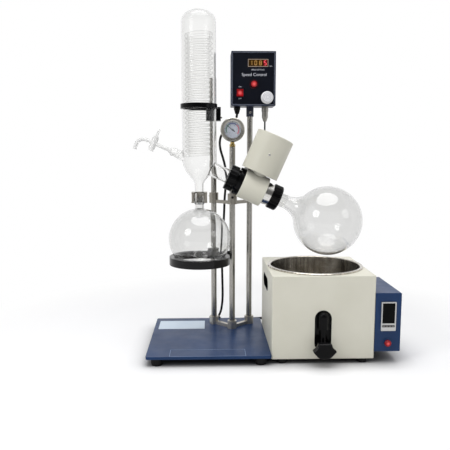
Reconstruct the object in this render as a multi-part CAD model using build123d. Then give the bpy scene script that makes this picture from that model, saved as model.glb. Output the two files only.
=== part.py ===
from build123d import *
from math import acos, cos, degrees, hypot, pi, radians, sin, sqrt, tan
import os

# Rotary evaporator: a post stand carries the tilted drive head, its glassware and a speed
# controller, and a separate heated bath stands under the turning flask.
# Millimetres, +Z up, +X to the right, +Y away from the front, the table is z = 0.

# Base plate and the place of its front left corner
PLATE_LEFT = -293.2
PLATE_FRONT = -150.6
PLATE_WIDTH = 310.0
PLATE_DEPTH = 322.0
PLATE_THICK = 7.0
PLATE_CORNER = 6.0
FOOT_HEIGHT = 18.0
FOOT_RADIUS = 14.0
FOOT_INSET_X = 26.0
FOOT_INSET_Y = 15.0
PLATE_TOP = FOOT_HEIGHT + PLATE_THICK
PLATE_MID_X = PLATE_LEFT + PLATE_WIDTH / 2
PLATE_MID_Y = PLATE_FRONT + PLATE_DEPTH / 2

# Poles: one in front and two behind it
POLE_RADIUS = 8.0
POLE_SPREAD = 102.0
POLE_STAGGER = 47.0
POLE_INSET_X = 88.5
POLE_INSET_Y = 97.0
FRONT_POLE_X = PLATE_LEFT + PLATE_WIDTH - POLE_INSET_X
FRONT_POLE_Y = PLATE_FRONT + PLATE_DEPTH - POLE_INSET_Y
FRONT_POLE_TOP = 538.0
LEFT_POLE_TOP = 727.0
SPIGOT_RADIUS = 5.0
REAR_POLE_Y = FRONT_POLE_Y + POLE_STAGGER
LEFT_POLE_X = FRONT_POLE_X - POLE_SPREAD / 2
RIGHT_POLE_X = FRONT_POLE_X + POLE_SPREAD / 2
POLE_PLACES = [(FRONT_POLE_X, FRONT_POLE_Y), (LEFT_POLE_X, REAR_POLE_Y), (RIGHT_POLE_X, REAR_POLE_Y)]

# Chevron brackets that tie the three poles
COLLAR_RADIUS = 13.0
COLLAR_ARM_WIDTH = 10.0
COLLAR_ARM_HEIGHT = 9.0
BASE_COLLAR_HEIGHT = 22.0
TIE_COLLAR_HEIGHT = 29.0
TIE_LEVEL = 380.0

# Cap screws, one size for every clamp and flange
SCREW_RADIUS = 2.0
SCREW_HEAD_RADIUS = 3.5
SCREW_HEAD = 4.0
SCREW_SOCKET_RADIUS = 1.7
SCREW_SOCKET_DEPTH = 2.2
SCREW_HOLE_SPARE = 2.0

# Drive head: u runs down to the flask, w up to the motor, both from the gear centre
HEAD_TILT = 24.0
HEAD_X = FRONT_POLE_X + 53.2
HEAD_Y = FRONT_POLE_Y - 49.3
HEAD_Z = 428.8
HOUSING_RADIUS = 40.0
HOUSING_HALF = 33.0
HOUSING_WALL = 5.0
HOUSING_EDGE = 2.0
NECK_RADIUS = 20.0
NECK_TOP = 41.5
PINION_HOLE_RADIUS = 13.0
U_AXIS = Vector(cos(radians(HEAD_TILT)), 0, -sin(radians(HEAD_TILT)))
W_AXIS = Vector(sin(radians(HEAD_TILT)), 0, cos(radians(HEAD_TILT)))
HEAD_CENTRE = Vector(HEAD_X, HEAD_Y, HEAD_Z)
HEAD = Plane(origin=HEAD_CENTRE, x_dir=W_AXIS, z_dir=U_AXIS)
MOTOR_AXIS = Plane(origin=HEAD_CENTRE, x_dir=U_AXIS, z_dir=W_AXIS)

# Fits
RUNNING = 0.05
LOOSE = 0.3

# Bevel gears, apex at the gear centre
CROWN_TEETH = 36
PINION_TEETH = 12
GEAR_MODULE = 1.5
TOOTH_FACE = 8.0
TOOTH_THICK = 1.7
TOOTH_FLANK = 20.0
TOOTH_DEDENDUM = 1.25 * GEAR_MODULE
TOOTH_SUNK = 0.4
CROWN_PITCH_RADIUS = CROWN_TEETH * GEAR_MODULE / 2
PINION_PITCH_RADIUS = PINION_TEETH * GEAR_MODULE / 2
CROWN_BACK = 9.0
PINION_BACK = 3.5

# Spindle, bearings and seal
SPINDLE_RADIUS = 15.0
SPINDLE_BORE = 10.3
BEARING_RADIUS = 26.0
BEARING_WIDTH = 10.0
BEARING_LIP = 2.0
BEARING_LIP_RADIUS = 20.0
VAPOUR_RADIUS = 10.0
VAPOUR_BORE = 7.5
SEAL_RADIUS = 20.0
SEAL_LENGTH = 14.0
SPINDLE_TAIL = 1.5

# Seal flange, union nut and the condenser arm's end bead
FLANGE_RADIUS = 37.0
FLANGE_THICK = 12.0
FLANGE_BOLT_CIRCLE = 33.2
FLANGE_BOLTS = 6
BOSS_RADIUS = 24.5
BOSS_LENGTH = 13.0
NUT_RADIUS = 34.5
NUT_LENGTH = 29.0
NUT_WAIST = 29.2
NUT_WAIST_LENGTH = 5.5
NUT_FLUTES = 16
FLUTE_RADIUS = 3.0
FLUTE_DEPTH = 1.2
BEAD_RADIUS = 24.0
BEAD_THICK = 3.0
BEAD_SLOPE = 5.0

# Flask hub, flask nut and the evaporating flask (three litres)
HUB_RADIUS = 30.5
HUB_LENGTH = 18.0
HUB_GROOVE = 1.2
HUB_NOSE_RADIUS = 27.0
HUB_NOSE_LENGTH = 13.0
FLASK_NUT_RADIUS = 34.0
FLASK_NUT_LENGTH = 26.0
FLASK_RADIUS = 93.0
FLASK_REACH = 222.0
FLASK_WALL = 3.0
FLASK_NECK_RADIUS = 18.0
FLASK_BEAD_RADIUS = 22.0
FLASK_BEAD = 4.0
GROUND_JOINT_LENGTH = 32.0
GROUND_JOINT_RADIUS = 14.6
GROUND_JOINT_TAPER = 0.05

# Motor and its cover
MOTOR_FLANGE = 5.0
MOTOR_RADIUS = 36.0
MOTOR_TOP = 128.0
SHAFT_RADIUS = 4.0
SHAFT_TOP = 88.0
COVER_RADIUS = 50.5
COVER_WALL = 2.5
COVER_TOP = 148.0
COVER_EDGE = 2.5

# Head carrier on the right pole
CARRIER_RADIUS = 17.0
CARRIER_HEIGHT = 38.0
CARRIER_ARM_WIDTH = 34.0
CARRIER_LUG_WIDTH = 24.0
CARRIER_LUG_DEPTH = 30.0
CARRIER_SLOT = 2.0

# Condenser, hung on the head's axis
CONDENSER_REACH = 143.5
JACKET_RADIUS = 45.0
JACKET_WALL = 3.0
JACKET_RISE = 393.0
DOME_RISE = 30.0
DOME_FULLNESS = 0.55
BELLY_RISE = 14.0
BELLY_DROP = 56.0
BELLY_HANDLE = 38.0
THROAT_HANDLE = 15.0
NECK_GLASS_RADIUS = 12.0
BALL_DROP = 90.7
BALL_RADIUS = 17.5
BALL_CUT = 14.0
GLASS_BORE = 9.0
ARM_GLASS_RADIUS = 19.0
CONDENSER_X = HEAD_X - CONDENSER_REACH
ARM_U = -CONDENSER_REACH / cos(radians(HEAD_TILT))
ARM_Z = HEAD_Z + CONDENSER_REACH * tan(radians(HEAD_TILT))
JACKET_TOP = ARM_Z + JACKET_RISE
BALL_Z = ARM_Z - BALL_DROP
SOCKET_RADIUS = 12.5
SOCKET_LENGTH = 30.0
SOCKET_BORE = 9.4
SOCKET_TAPER = 0.035
SOCKET_END_U = ARM_U - JACKET_RADIUS / cos(radians(HEAD_TILT)) - SOCKET_LENGTH

# Cooling coil
COIL_RADIUS = 32.5
COIL_TUBE_RADIUS = 4.6
COIL_PITCH = 12.5
COIL_TURNS = 25
COIL_STEPS = 12
COIL_SIDES = 6
COIL_TOP_DROP = 60.0
HOSE_END_REACH = 24.0
HOSE_BARB_RADIUS = 6.0
HOSE_BARB_LENGTH = 5.0

# Feed tube with its stopcock
FEED_RADIUS = 5.0
FEED_BORE = 2.7
FEED_CONE_LENGTH = 24.0
FEED_SHOULDER = 9.0
VALVE_SETBACK = 52.0
VALVE_RADIUS = 8.5
VALVE_HALF = 15.0
KEY_RADIUS = 4.8
KEY_PORT_RADIUS = 2.0
KEY_STEM = 7.0
KEY_GRIP_WIDTH = 14.0
KEY_GRIP_THICK = 5.0
KEY_GRIP_LENGTH = 21.0
KEY_NUT_RADIUS = 7.0
KEY_NUT_LENGTH = 6.0
SPOUT_STRAIGHT = 21.0
SPOUT_BEND = 20.0
SPOUT_TURN = 95.0
SPOUT_TIP = 13.0

# Condenser clamp on the left pole
CLAMP_RISE = 148.5
CLAMP_HEIGHT = 12.0
CLAMP_THICK = 3.4
CLAMP_BAR_WIDTH = 14.0
BOSS_BLOCK_WIDTH = 40.0
BOSS_BLOCK_DEPTH = 34.0
BOSS_BLOCK_HEIGHT = 38.0
BOSS_BLOCK_DROP = 8.0

# Ball joint clip and the receiving flask (two litres)
CLIP_WIDTH = 42.0
CLIP_PLATE = 2.0
CLIP_DEPTH = 46.0
CLIP_POST_RADIUS = 3.2
CUP_WALL = 3.0
RECEIVER_RADIUS = 83.0
RECEIVER_DROP = 112.0
RECEIVER_WALL = 2.5
RECEIVER_Z = BALL_Z - RECEIVER_DROP

# Receiver ring on the left pole
RING_RADIUS = 82.0
RING_SEAT_RADIUS = 68.5
RING_HEIGHT = 21.0
RING_BOSS_RADIUS = 17.0
RING_BOSS_HEIGHT = 30.0
RING_BAR_WIDTH = 24.0
THUMB_RADIUS = 8.0
THUMB_LENGTH = 12.0
THUMB_STEM_RADIUS = 3.0
THUMB_STEM = 18.0
RING_TOP = RECEIVER_Z - sqrt(RECEIVER_RADIUS**2 - RING_SEAT_RADIUS**2) - LOOSE

# Vacuum gauge on the front pole
GAUGE_RADIUS = 33.0
GAUGE_BODY_RADIUS = 30.5
GAUGE_DEPTH = 30.0
BEZEL_DEPTH = 9.0
BEZEL_WIDTH = 5.0
BEZEL_LIP = 1.0
DIAL_THICK = 1.5
LENS_THICK = 2.0
DIAL_GAP = 4.0
GAUGE_RISE = 45.0
FITTING_RADIUS = 8.0
FITTING_HEIGHT = 12.5
NEEDLE_ANGLE = 141.0
NEEDLE_LENGTH = 19.0
NEEDLE_TAIL = 8.0
NEEDLE_WIDTH = 2.2
NEEDLE_THICK = 0.8
NEEDLE_HUB_RADIUS = 2.6
PIVOT_RADIUS = 1.0
GAUGE_Z = FRONT_POLE_TOP + GAUGE_RISE
GAUGE_FRONT = FRONT_POLE_Y - GAUGE_DEPTH / 2

# Speed controller on the right pole
CASE_WIDTH = 122.0
CASE_DEPTH = 65.0
CASE_HEIGHT = 146.0
CASE_OFFSET = 7.0
CASE_WALL = 2.0
CASE_EDGE = 2.0
PANEL_INSET = 2.0
PANEL_THICK = 3.0
PANEL_FRAME = 3.0
CONNECTOR_OFFSET_X = 41.5
CONNECTOR_LENGTH = 41.0
LEAD_DROP = 91.0
CONNECTOR_X = RIGHT_POLE_X + CONNECTOR_OFFSET_X
LEAD_LEVEL = HEAD_Z + (CONNECTOR_X - HEAD_X) / tan(radians(HEAD_TILT))
CASE_BOTTOM = LEAD_LEVEL + LEAD_DROP + CONNECTOR_LENGTH
CASE_X = RIGHT_POLE_X + CASE_OFFSET
CASE_FRONT = REAR_POLE_Y - CASE_DEPTH / 2
PANEL_FRONT = CASE_FRONT + PANEL_INSET
CASE_MID_Z = CASE_BOTTOM + CASE_HEIGHT / 2
DISPLAY_WIDTH = 55.5
DISPLAY_HEIGHT = 20.5
DISPLAY_DEPTH = 1.0
DISPLAY_PLACE = (12.5, 42.0)
START_PLACE = (1.3, -15.0)
ROCKER_PLACE = (-36.6, -37.8)
KNOB_PLACE = (37.8, -50.6)
START_RADIUS = 8.5
START_PROUD = 6.0
START_TRAVEL = 3.0
SHOULDER_RADIUS = 11.0
SHOULDER_PROUD = 2.0
ROCKER_WIDTH = 18.0
ROCKER_HEIGHT = 20.0
ROCKER_DEPTH = 9.0
ROCKER_TILT = 7.0
ROCKER_FRAME = 2.5
ROCKER_GAP = 1.0
KNOB_RADIUS = 17.0
KNOB_HEIGHT = 16.0
KNOB_SKIRT = 3.0
KNOB_CROWN_RADIUS = 14.5
KNOB_SHAFT_RADIUS = 3.0
KNOB_SHAFT_LENGTH = 14.0
SLEEVE_RADIUS = 10.3
SLEEVE_LENGTH = 27.0
GLAND_OFFSET_X = -36.5
GLAND_RADIUS = 9.0
GLAND_NUT = 9.0
GLAND_LENGTH = 20.0
GLAND_TIP_RADIUS = 5.5
UNDER_Y = REAR_POLE_Y - 7.0
CONNECTOR_RADIUS = 9.5
CONNECTOR_TIP = 12.0
CONNECTOR_TIP_RADIUS = 4.5
LEAD_RADIUS = 2.2
LEAD_BEND_SHARE = 0.4

# Mains cord, its coil and plug
CORD_RADIUS = 3.25
CORD_BEND_SHARE = 0.45
CORD_CLEAR = 0.15
COIL_TURN_RADIUS = 36.0
COIL_TURN_ROWS = 2
CORD_COIL_X = FRONT_POLE_X + 198.5
CORD_COIL_Y = FRONT_POLE_Y + 137.0
PLUG_LENGTH = 36.0
PLUG_WIDTH = 26.0
PLUG_HEIGHT = 18.0
PLUG_TAIL = 20.0
PLUG_PIN_RADIUS = 2.0
PLUG_PIN_LENGTH = 18.0
PLUG_PIN_SPACING = 13.0

# Heated bath
BATH_GAP = LOOSE
BATH_FRONT = PLATE_FRONT + 10.5
BATH_SIDE_ROOM = 11.0
BATH_END_ROOM = 12.5
BATH_HEIGHT = 209.3
BATH_FOOT_HEIGHT = 12.7
BATH_FOOT_RADIUS = 12.0
BATH_FOOT_INSET_X = 27.0
BATH_FOOT_INSET_Y = 14.5
BATH_WALL = 2.0
BATH_CORNER = 4.0
BATH_EDGE = 2.0
POT_RADIUS = 117.0
POT_WALL = 1.5
POT_DEPTH = 154.0
POT_CORNER = 8.0
RIM_WIDTH = 9.0
RIM_RISE = 4.0
HEATER_INSET = 19.0
HEATER_THICK = 12.0
GRIP_LENGTH = 112.0
GRIP_HEIGHT = 36.0
GRIP_CLEAR = 1.0
GRIP_Z = 174.0
GRIP_SETBACK = 26.0
LINER_WALL = 1.5
RECESS_WIDTH = 42.0
RECESS_HEIGHT = 104.0
RECESS_TOP = 136.0
RECESS_CLEAR = 3.0
BATH_WIDTH = 2 * (POT_RADIUS + BATH_SIDE_ROOM)
BATH_DEPTH = 2 * (POT_RADIUS + BATH_END_ROOM)
RIM_RADIUS = POT_RADIUS + RIM_WIDTH
HEATER_RADIUS = POT_RADIUS - HEATER_INSET
GRIP_DEPTH = BATH_SIDE_ROOM - POT_WALL - GRIP_CLEAR
RECESS_DEPTH = BATH_END_ROOM - POT_WALL - RECESS_CLEAR
BATH_LEFT = PLATE_LEFT + PLATE_WIDTH + BATH_GAP
BATH_RIGHT = BATH_LEFT + BATH_WIDTH
BATH_MID_X = BATH_LEFT + BATH_WIDTH / 2
BATH_MID_Y = BATH_FRONT + BATH_DEPTH / 2
BATH_TOP = BATH_FOOT_HEIGHT + BATH_HEIGHT

# Drain tap in the front recess
TAP_X = BATH_MID_X - 1.0
TAP_PIPE_RADIUS = 13.0
TAP_PIPE_TOP = 133.0
TAP_PIPE_FOOT = 89.0
TAP_NECK_RADIUS = 7.0
TAP_Z = 42.0
TAP_BODY_RADIUS = 14.0
TAP_BODY_REACH = 18.0
TAP_SPOUT_RADIUS = 6.5
TAP_SPOUT_DROP = 20.0
TAP_STEM_RADIUS = 4.0
HANDLE_SPAN = 28.5
HANDLE_RISE = 19.0
HANDLE_THICK = 13.0
HANDLE_EDGE = 2.5

# Control box on the bath's right side
BOX_WIDTH = 64.0
BOX_DEPTH = 180.0
BOX_HEIGHT = 148.0
BOX_BOTTOM = 30.5
BOX_WALL = 2.0
BOX_MID_X = BATH_RIGHT + BOX_WIDTH / 2
MODULE_WIDTH = 37.0
MODULE_HEIGHT = 73.0
MODULE_PROUD = 4.0
MODULE_LIP = 2.0
MODULE_LENGTH = 60.0
MODULE_Z = 120.3
MODULE_WINDOW = 1.0
MODULE_RIM = 3.0
MODULE_KEY_ROW = 22.0
LAMP_Z = 52.3
LAMP_RADIUS = 8.0
LAMP_PROUD = 5.0
LAMP_TRAVEL = 3.0
LAMP_COLLAR_RADIUS = 10.5
LAMP_COLLAR_PROUD = 2.0
INLET_WIDTH = 28.0
INLET_HEIGHT = 22.0
INLET_DEPTH = 24.0
INLET_LIP = 5.0
INLET_POCKET = 16.0

# How a box or rod stands at its place: centred on it, behind it or before it
UPRIGHT = (Align.CENTER, Align.CENTER, Align.MIN)
BEHIND = (Align.CENTER, Align.MIN, Align.MIN)
BEFORE = (Align.CENTER, Align.MAX, Align.MIN)
MID_BEHIND = (Align.CENTER, Align.MIN, Align.CENTER)
MID_BEFORE = (Align.CENTER, Align.MAX, Align.CENTER)


def rod(radius, length):
    return Cylinder(radius, length, align=UPRIGHT)


def pipe(radius, bore, length):
    return rod(radius, length) - rod(bore, length)


def turned(outline):
    """Solid of revolution about z from an outline drawn as (radius, height)."""
    return revolve(Plane.XZ * make_face(outline), Axis.Z)


def turned_points(points):
    return turned(Polyline(*points, close=True))


def around(count):
    """Rotations that repeat a feature about z."""
    return [Rot(0, 0, 360 / count * step) for step in range(count)]


def on_head(u, part):
    """Put a part made along z on the spindle axis, u along it."""
    return HEAD.location * Pos(0, 0, u) * part


def on_motor(w, part):
    return MOTOR_AXIS.location * Pos(0, 0, w) * part


def facing_front(x, y, z, part):
    """Put a part made along z so that it points out of the front."""
    return Pos(x, y, z) * Rot(90, 0, 0) * part


def cap_screw(length):
    """Socket cap screw along z with its seat at z = 0 and its tip below."""
    screw = rod(SCREW_HEAD_RADIUS, SCREW_HEAD) + Pos(0, 0, -length) * rod(SCREW_RADIUS, length)
    socket = extrude(RegularPolygon(SCREW_SOCKET_RADIUS, 6), SCREW_SOCKET_DEPTH)
    return screw - Pos(0, 0, SCREW_HEAD - SCREW_SOCKET_DEPTH) * socket


def screw_hole(length):
    """Hole for a cap screw, a little deeper than the screw."""
    depth = length + SCREW_HOLE_SPARE
    return Pos(0, 0, -depth) * rod(SCREW_RADIUS, depth)


# Where the cap screws go: a seat location and the length below the head
COLLAR_GRIP = COLLAR_RADIUS - POLE_RADIUS


def collar_screws(level):
    """A radial screw for each collar of a bracket: front, left and right pole."""
    places = []
    for (x, y), turn in zip(POLE_PLACES, (-90, 135, 45)):
        places.append(Pos(x, y, level) * Rot(0, 0, turn) * Rot(0, 90, 0) * Pos(0, 0, COLLAR_RADIUS))
    return places


BASE_SCREWS = collar_screws(PLATE_TOP + BASE_COLLAR_HEIGHT * 0.68)
TIE_SCREWS = collar_screws(TIE_LEVEL + TIE_COLLAR_HEIGHT * 0.66)
CARRIER_SCREWS = [
    Pos(RIGHT_POLE_X + CARRIER_LUG_WIDTH / 2, REAR_POLE_Y + CARRIER_LUG_DEPTH - 2 * SCREW_HEAD_RADIUS, z)
    * Rot(0, 90, 0)
    for z in (HEAD_Z - CARRIER_HEIGHT / 4, HEAD_Z + CARRIER_HEIGHT / 4)
]
FLANGE_FACE = -HOUSING_HALF - FLANGE_THICK
FLANGE_SCREWS = [
    HEAD.location * Pos(0, 0, FLANGE_FACE) * turn * Pos(FLANGE_BOLT_CIRCLE, 0, 0) * Rot(180, 0, 0)
    for turn in around(FLANGE_BOLTS)
]
FLANGE_GRIP = FLANGE_THICK + 8.0
SLEEVE_SCREW_Z = CASE_BOTTOM - SLEEVE_LENGTH * 0.6
SLEEVE_SCREW = Pos(RIGHT_POLE_X, REAR_POLE_Y - SLEEVE_RADIUS, SLEEVE_SCREW_Z) * Rot(90, 0, 0)
SLEEVE_GRIP = SLEEVE_RADIUS - POLE_RADIUS
CLAMP_Z = ARM_Z + CLAMP_RISE
BOSS_BLOCK_Z = CLAMP_Z + CLAMP_HEIGHT / 2 - BOSS_BLOCK_HEIGHT / 2
BLOCK_SCREW = (
    Pos(LEFT_POLE_X + BOSS_BLOCK_WIDTH / 2, REAR_POLE_Y, BOSS_BLOCK_Z - BOSS_BLOCK_DROP) * Rot(0, 90, 0)
)
BLOCK_GRIP = BOSS_BLOCK_WIDTH / 2 - POLE_RADIUS


def base_plate():
    outline = RectangleRounded(PLATE_WIDTH, PLATE_DEPTH, PLATE_CORNER)
    plate = Pos(PLATE_MID_X, PLATE_MID_Y, FOOT_HEIGHT) * extrude(outline, PLATE_THICK)
    for x, y in POLE_PLACES:
        plate -= Pos(x, y, FOOT_HEIGHT) * rod(SPIGOT_RADIUS, PLATE_THICK)
    return plate


def foot(radius, height):
    sole = radius * 0.86
    return turned_points([(0, 0), (sole, 0), (radius, height * 0.35), (radius, height), (0, height)])


def base_feet():
    reach_x = PLATE_WIDTH / 2 - FOOT_INSET_X
    reach_y = PLATE_DEPTH / 2 - FOOT_INSET_Y
    return [
        Pos(PLATE_MID_X + side * reach_x, PLATE_MID_Y + end * reach_y, 0) * foot(FOOT_RADIUS, FOOT_HEIGHT)
        for side in (-1, 1)
        for end in (-1, 1)
    ]


def pole(place, top):
    x, y = place
    spigot = Pos(x, y, FOOT_HEIGHT) * rod(SPIGOT_RADIUS, PLATE_THICK)
    bar = Pos(x, y, PLATE_TOP) * rod(POLE_RADIUS, top - PLATE_TOP)
    return chamfer(bar.edges().sort_by(Axis.Z)[-1], 1) + spigot


def tie(start, end, width, height):
    """Straight bar between two points of one level, standing on that level."""
    run = Vector(*end) - Vector(*start)
    bar = Box(run.length, width, height, align=(Align.MIN, Align.CENTER, Align.MIN))
    return Pos(*start) * Rot(0, 0, degrees(acos(run.X / run.length)) * (1 if run.Y >= 0 else -1)) * bar


def chevron(level, collar_height, screws):
    """Cast bracket of three collars with two arms that meet at the front pole."""
    front = (*POLE_PLACES[0], level)
    bracket = Pos(*front) * rod(COLLAR_RADIUS, collar_height)
    for place in POLE_PLACES[1:]:
        bracket += Pos(*place, level) * rod(COLLAR_RADIUS, collar_height)
        bracket += tie(front, (*place, level), COLLAR_ARM_WIDTH, COLLAR_ARM_HEIGHT)
    for place in POLE_PLACES:
        bracket -= Pos(*place, level) * rod(POLE_RADIUS, collar_height)
    for seat in screws:
        bracket -= seat * screw_hole(COLLAR_GRIP)
    return bracket


def clamp_screws():
    screws = [seat * cap_screw(COLLAR_GRIP) for seat in BASE_SCREWS + TIE_SCREWS]
    screws += [seat * cap_screw(CARRIER_LUG_WIDTH) for seat in CARRIER_SCREWS]
    screws += [seat * cap_screw(FLANGE_GRIP) for seat in FLANGE_SCREWS]
    screws.append(SLEEVE_SCREW * cap_screw(SLEEVE_GRIP))
    screws.append(BLOCK_SCREW * cap_screw(BLOCK_GRIP))
    return screws


def housing_outside():
    body = on_head(-HOUSING_HALF, rod(HOUSING_RADIUS, 2 * HOUSING_HALF))
    body = fillet(body.edges().filter_by(GeomType.CIRCLE), HOUSING_EDGE)
    return body + on_motor(0, rod(NECK_RADIUS, NECK_TOP))


def gear_housing():
    bearing_in = HOUSING_HALF - BEARING_LIP - BEARING_WIDTH
    housing = housing_outside()
    housing -= on_head(-bearing_in, rod(HOUSING_RADIUS - HOUSING_WALL, 2 * bearing_in))
    housing -= on_head(-HOUSING_HALF, rod(BEARING_RADIUS, 2 * HOUSING_HALF - BEARING_LIP))
    housing -= on_head(0, rod(BEARING_LIP_RADIUS, HOUSING_HALF))
    housing -= on_motor(0, rod(PINION_HOLE_RADIUS, NECK_TOP))
    for seat in FLANGE_SCREWS:
        housing -= seat * screw_hole(FLANGE_GRIP)
    return housing


def head_carrier():
    """Clamp on the right pole with an arm saddled on the back of the gear housing."""
    bottom = HEAD_Z - CARRIER_HEIGHT / 2
    run = REAR_POLE_Y - HEAD_Y
    carrier = Pos(RIGHT_POLE_X, REAR_POLE_Y, bottom) * rod(CARRIER_RADIUS, CARRIER_HEIGHT)
    arm = Box(CARRIER_ARM_WIDTH, run, CARRIER_HEIGHT, align=BEFORE)
    carrier += Pos(RIGHT_POLE_X, REAR_POLE_Y, bottom) * arm
    lug = Box(CARRIER_LUG_WIDTH, CARRIER_LUG_DEPTH, CARRIER_HEIGHT, align=BEHIND)
    carrier += Pos(RIGHT_POLE_X, REAR_POLE_Y, bottom) * lug
    carrier -= Pos(RIGHT_POLE_X, REAR_POLE_Y, bottom) * rod(POLE_RADIUS, CARRIER_HEIGHT)
    slot = Box(CARRIER_SLOT, CARRIER_LUG_DEPTH, CARRIER_HEIGHT, align=BEHIND)
    carrier -= Pos(RIGHT_POLE_X, REAR_POLE_Y, bottom) * slot
    for seat in CARRIER_SCREWS:
        carrier -= seat * screw_hole(CARRIER_LUG_WIDTH)
    return carrier - on_head(-HOUSING_HALF, rod(HOUSING_RADIUS, 2 * HOUSING_HALF))


def bevel_outline(pitch_radius, cone, depth):
    """Point (radius, height) off the pitch cone, out of the tooth space if depth is above zero."""
    reach = hypot(CROWN_PITCH_RADIUS, PINION_PITCH_RADIUS)
    tilt_sin = pitch_radius / reach
    tilt_cos = sqrt(1 - tilt_sin**2)
    scale = cone / reach
    return (
        scale * (reach * tilt_sin + depth * tilt_cos),
        scale * (reach * tilt_cos - depth * tilt_sin),
    )


def bevel_tooth(pitch_radius):
    """One straight tooth: its outer end scaled down towards the apex."""
    outer_cone = hypot(CROWN_PITCH_RADIUS, PINION_PITCH_RADIUS)
    slope = tan(radians(TOOTH_FLANK))
    ends = []
    for cone in (outer_cone, outer_cone - TOOTH_FACE):
        corners = []
        for depth in (GEAR_MODULE, -TOOTH_DEDENDUM - TOOTH_SUNK):
            radius, height = bevel_outline(pitch_radius, cone, depth)
            half = (TOOTH_THICK / 2 - depth * slope) * cone / outer_cone
            corners.append(((radius, -half, height), (radius, half, height)))
        (tip_a, tip_b), (root_a, root_b) = corners
        ends.append(make_face(Polyline(tip_a, tip_b, root_b, root_a, close=True)))
    return loft(ends, ruled=True)


def bevel_gear(pitch_radius, teeth, blank, phase):
    gear = blank
    for turn in around(teeth):
        gear += turn * Rot(0, 0, phase) * bevel_tooth(pitch_radius)
    return gear


def bevel_root(pitch_radius):
    """Inner and outer ends of the root line."""
    outer_cone = hypot(CROWN_PITCH_RADIUS, PINION_PITCH_RADIUS)
    inner = bevel_outline(pitch_radius, outer_cone - TOOTH_FACE, -TOOTH_DEDENDUM)
    outer = bevel_outline(pitch_radius, outer_cone, -TOOTH_DEDENDUM)
    return inner, outer


def crown_gear():
    inner, outer = bevel_root(CROWN_PITCH_RADIUS)
    back = PINION_PITCH_RADIUS + CROWN_BACK
    blank = turned_points([
        (SPINDLE_RADIUS, inner[1]), inner, outer, (outer[0], back), (SPINDLE_RADIUS, back),
    ])
    return on_head(0, bevel_gear(CROWN_PITCH_RADIUS, CROWN_TEETH, blank, 0))


def drive_pinion():
    inner, outer = bevel_root(PINION_PITCH_RADIUS)
    back = outer[1] + PINION_BACK
    blank = turned_points([
        (0, inner[1]), inner, outer, (outer[0], back), (SHAFT_RADIUS, back),
        (SHAFT_RADIUS, SHAFT_TOP), (0, SHAFT_TOP),
    ])
    return on_motor(0, bevel_gear(PINION_PITCH_RADIUS, PINION_TEETH, blank, 180 / PINION_TEETH))


def spindle():
    start = -HOUSING_HALF - SPINDLE_TAIL
    end = HOUSING_HALF + LOOSE + HUB_LENGTH * 0.7
    return on_head(start, pipe(SPINDLE_RADIUS, SPINDLE_BORE, end - start))


def spindle_bearings():
    ring = pipe(BEARING_RADIUS, SPINDLE_RADIUS + RUNNING, BEARING_WIDTH)
    far_side = HOUSING_HALF - BEARING_LIP
    return [on_head(far_side - BEARING_WIDTH, ring), on_head(-far_side, ring)]


def spindle_seal():
    return on_head(FLANGE_FACE - 1, pipe(SEAL_RADIUS, VAPOUR_RADIUS + RUNNING, FLANGE_THICK - SPINDLE_TAIL))


def seal_flange():
    boss_end = FLANGE_FACE - BOSS_LENGTH
    flange = on_head(FLANGE_FACE, rod(FLANGE_RADIUS, FLANGE_THICK))
    flange += on_head(boss_end, rod(BOSS_RADIUS, BOSS_LENGTH))
    flange -= on_head(FLANGE_FACE - 1, rod(SEAL_RADIUS, FLANGE_THICK + 1))
    flange -= on_head(boss_end, rod(VAPOUR_RADIUS + 3, BOSS_LENGTH))
    for seat in FLANGE_SCREWS:
        flange -= seat * screw_hole(FLANGE_GRIP)
    return flange


def fluted(outline, radius, length):
    """Turned nut with grip flutes along its rim."""
    nut = turned_points(outline)
    for turn in around(NUT_FLUTES):
        nut -= turn * Pos(radius + FLUTE_RADIUS - FLUTE_DEPTH, 0, 0) * rod(FLUTE_RADIUS, length)
    return nut


BEAD_FACE = FLANGE_FACE - BOSS_LENGTH - 0.2


def condenser_nut():
    """Union nut: threads on the flange boss and draws the condenser arm's bead against it."""
    bead_end = BOSS_LENGTH + 0.2 + BEAD_THICK
    mouth = ARM_GLASS_RADIUS + LOOSE
    outline = [
        (BOSS_RADIUS, LOOSE), (NUT_WAIST, LOOSE), (NUT_WAIST, NUT_WAIST_LENGTH),
        (NUT_RADIUS, NUT_WAIST_LENGTH + 1),
        (NUT_RADIUS, NUT_LENGTH - 1), (NUT_RADIUS - 1, NUT_LENGTH), (mouth, NUT_LENGTH),
        (mouth, bead_end + BEAD_SLOPE + LOOSE), (BOSS_RADIUS, bead_end + LOOSE),
    ]
    nut = fluted(outline, NUT_RADIUS, NUT_LENGTH)
    return HEAD.location * Pos(0, 0, FLANGE_FACE) * Rot(180, 0, 0) * nut


HUB_START = HOUSING_HALF + LOOSE
HUB_END = HUB_START + HUB_LENGTH
NOSE_END = HUB_END + HUB_NOSE_LENGTH


def flask_hub():
    seat = HUB_LENGTH * 0.7
    groove = HUB_LENGTH * 0.55
    outline = [
        (SPINDLE_RADIUS, 0), (HUB_RADIUS, 0), (HUB_RADIUS, groove), (HUB_RADIUS - HUB_GROOVE, groove),
        (HUB_RADIUS - HUB_GROOVE, HUB_LENGTH), (HUB_NOSE_RADIUS, HUB_LENGTH),
        (HUB_NOSE_RADIUS, HUB_LENGTH + HUB_NOSE_LENGTH), (SPINDLE_BORE, HUB_LENGTH + HUB_NOSE_LENGTH),
        (SPINDLE_BORE, seat), (SPINDLE_RADIUS, seat),
    ]
    return on_head(HUB_START, turned_points(outline))


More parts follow.
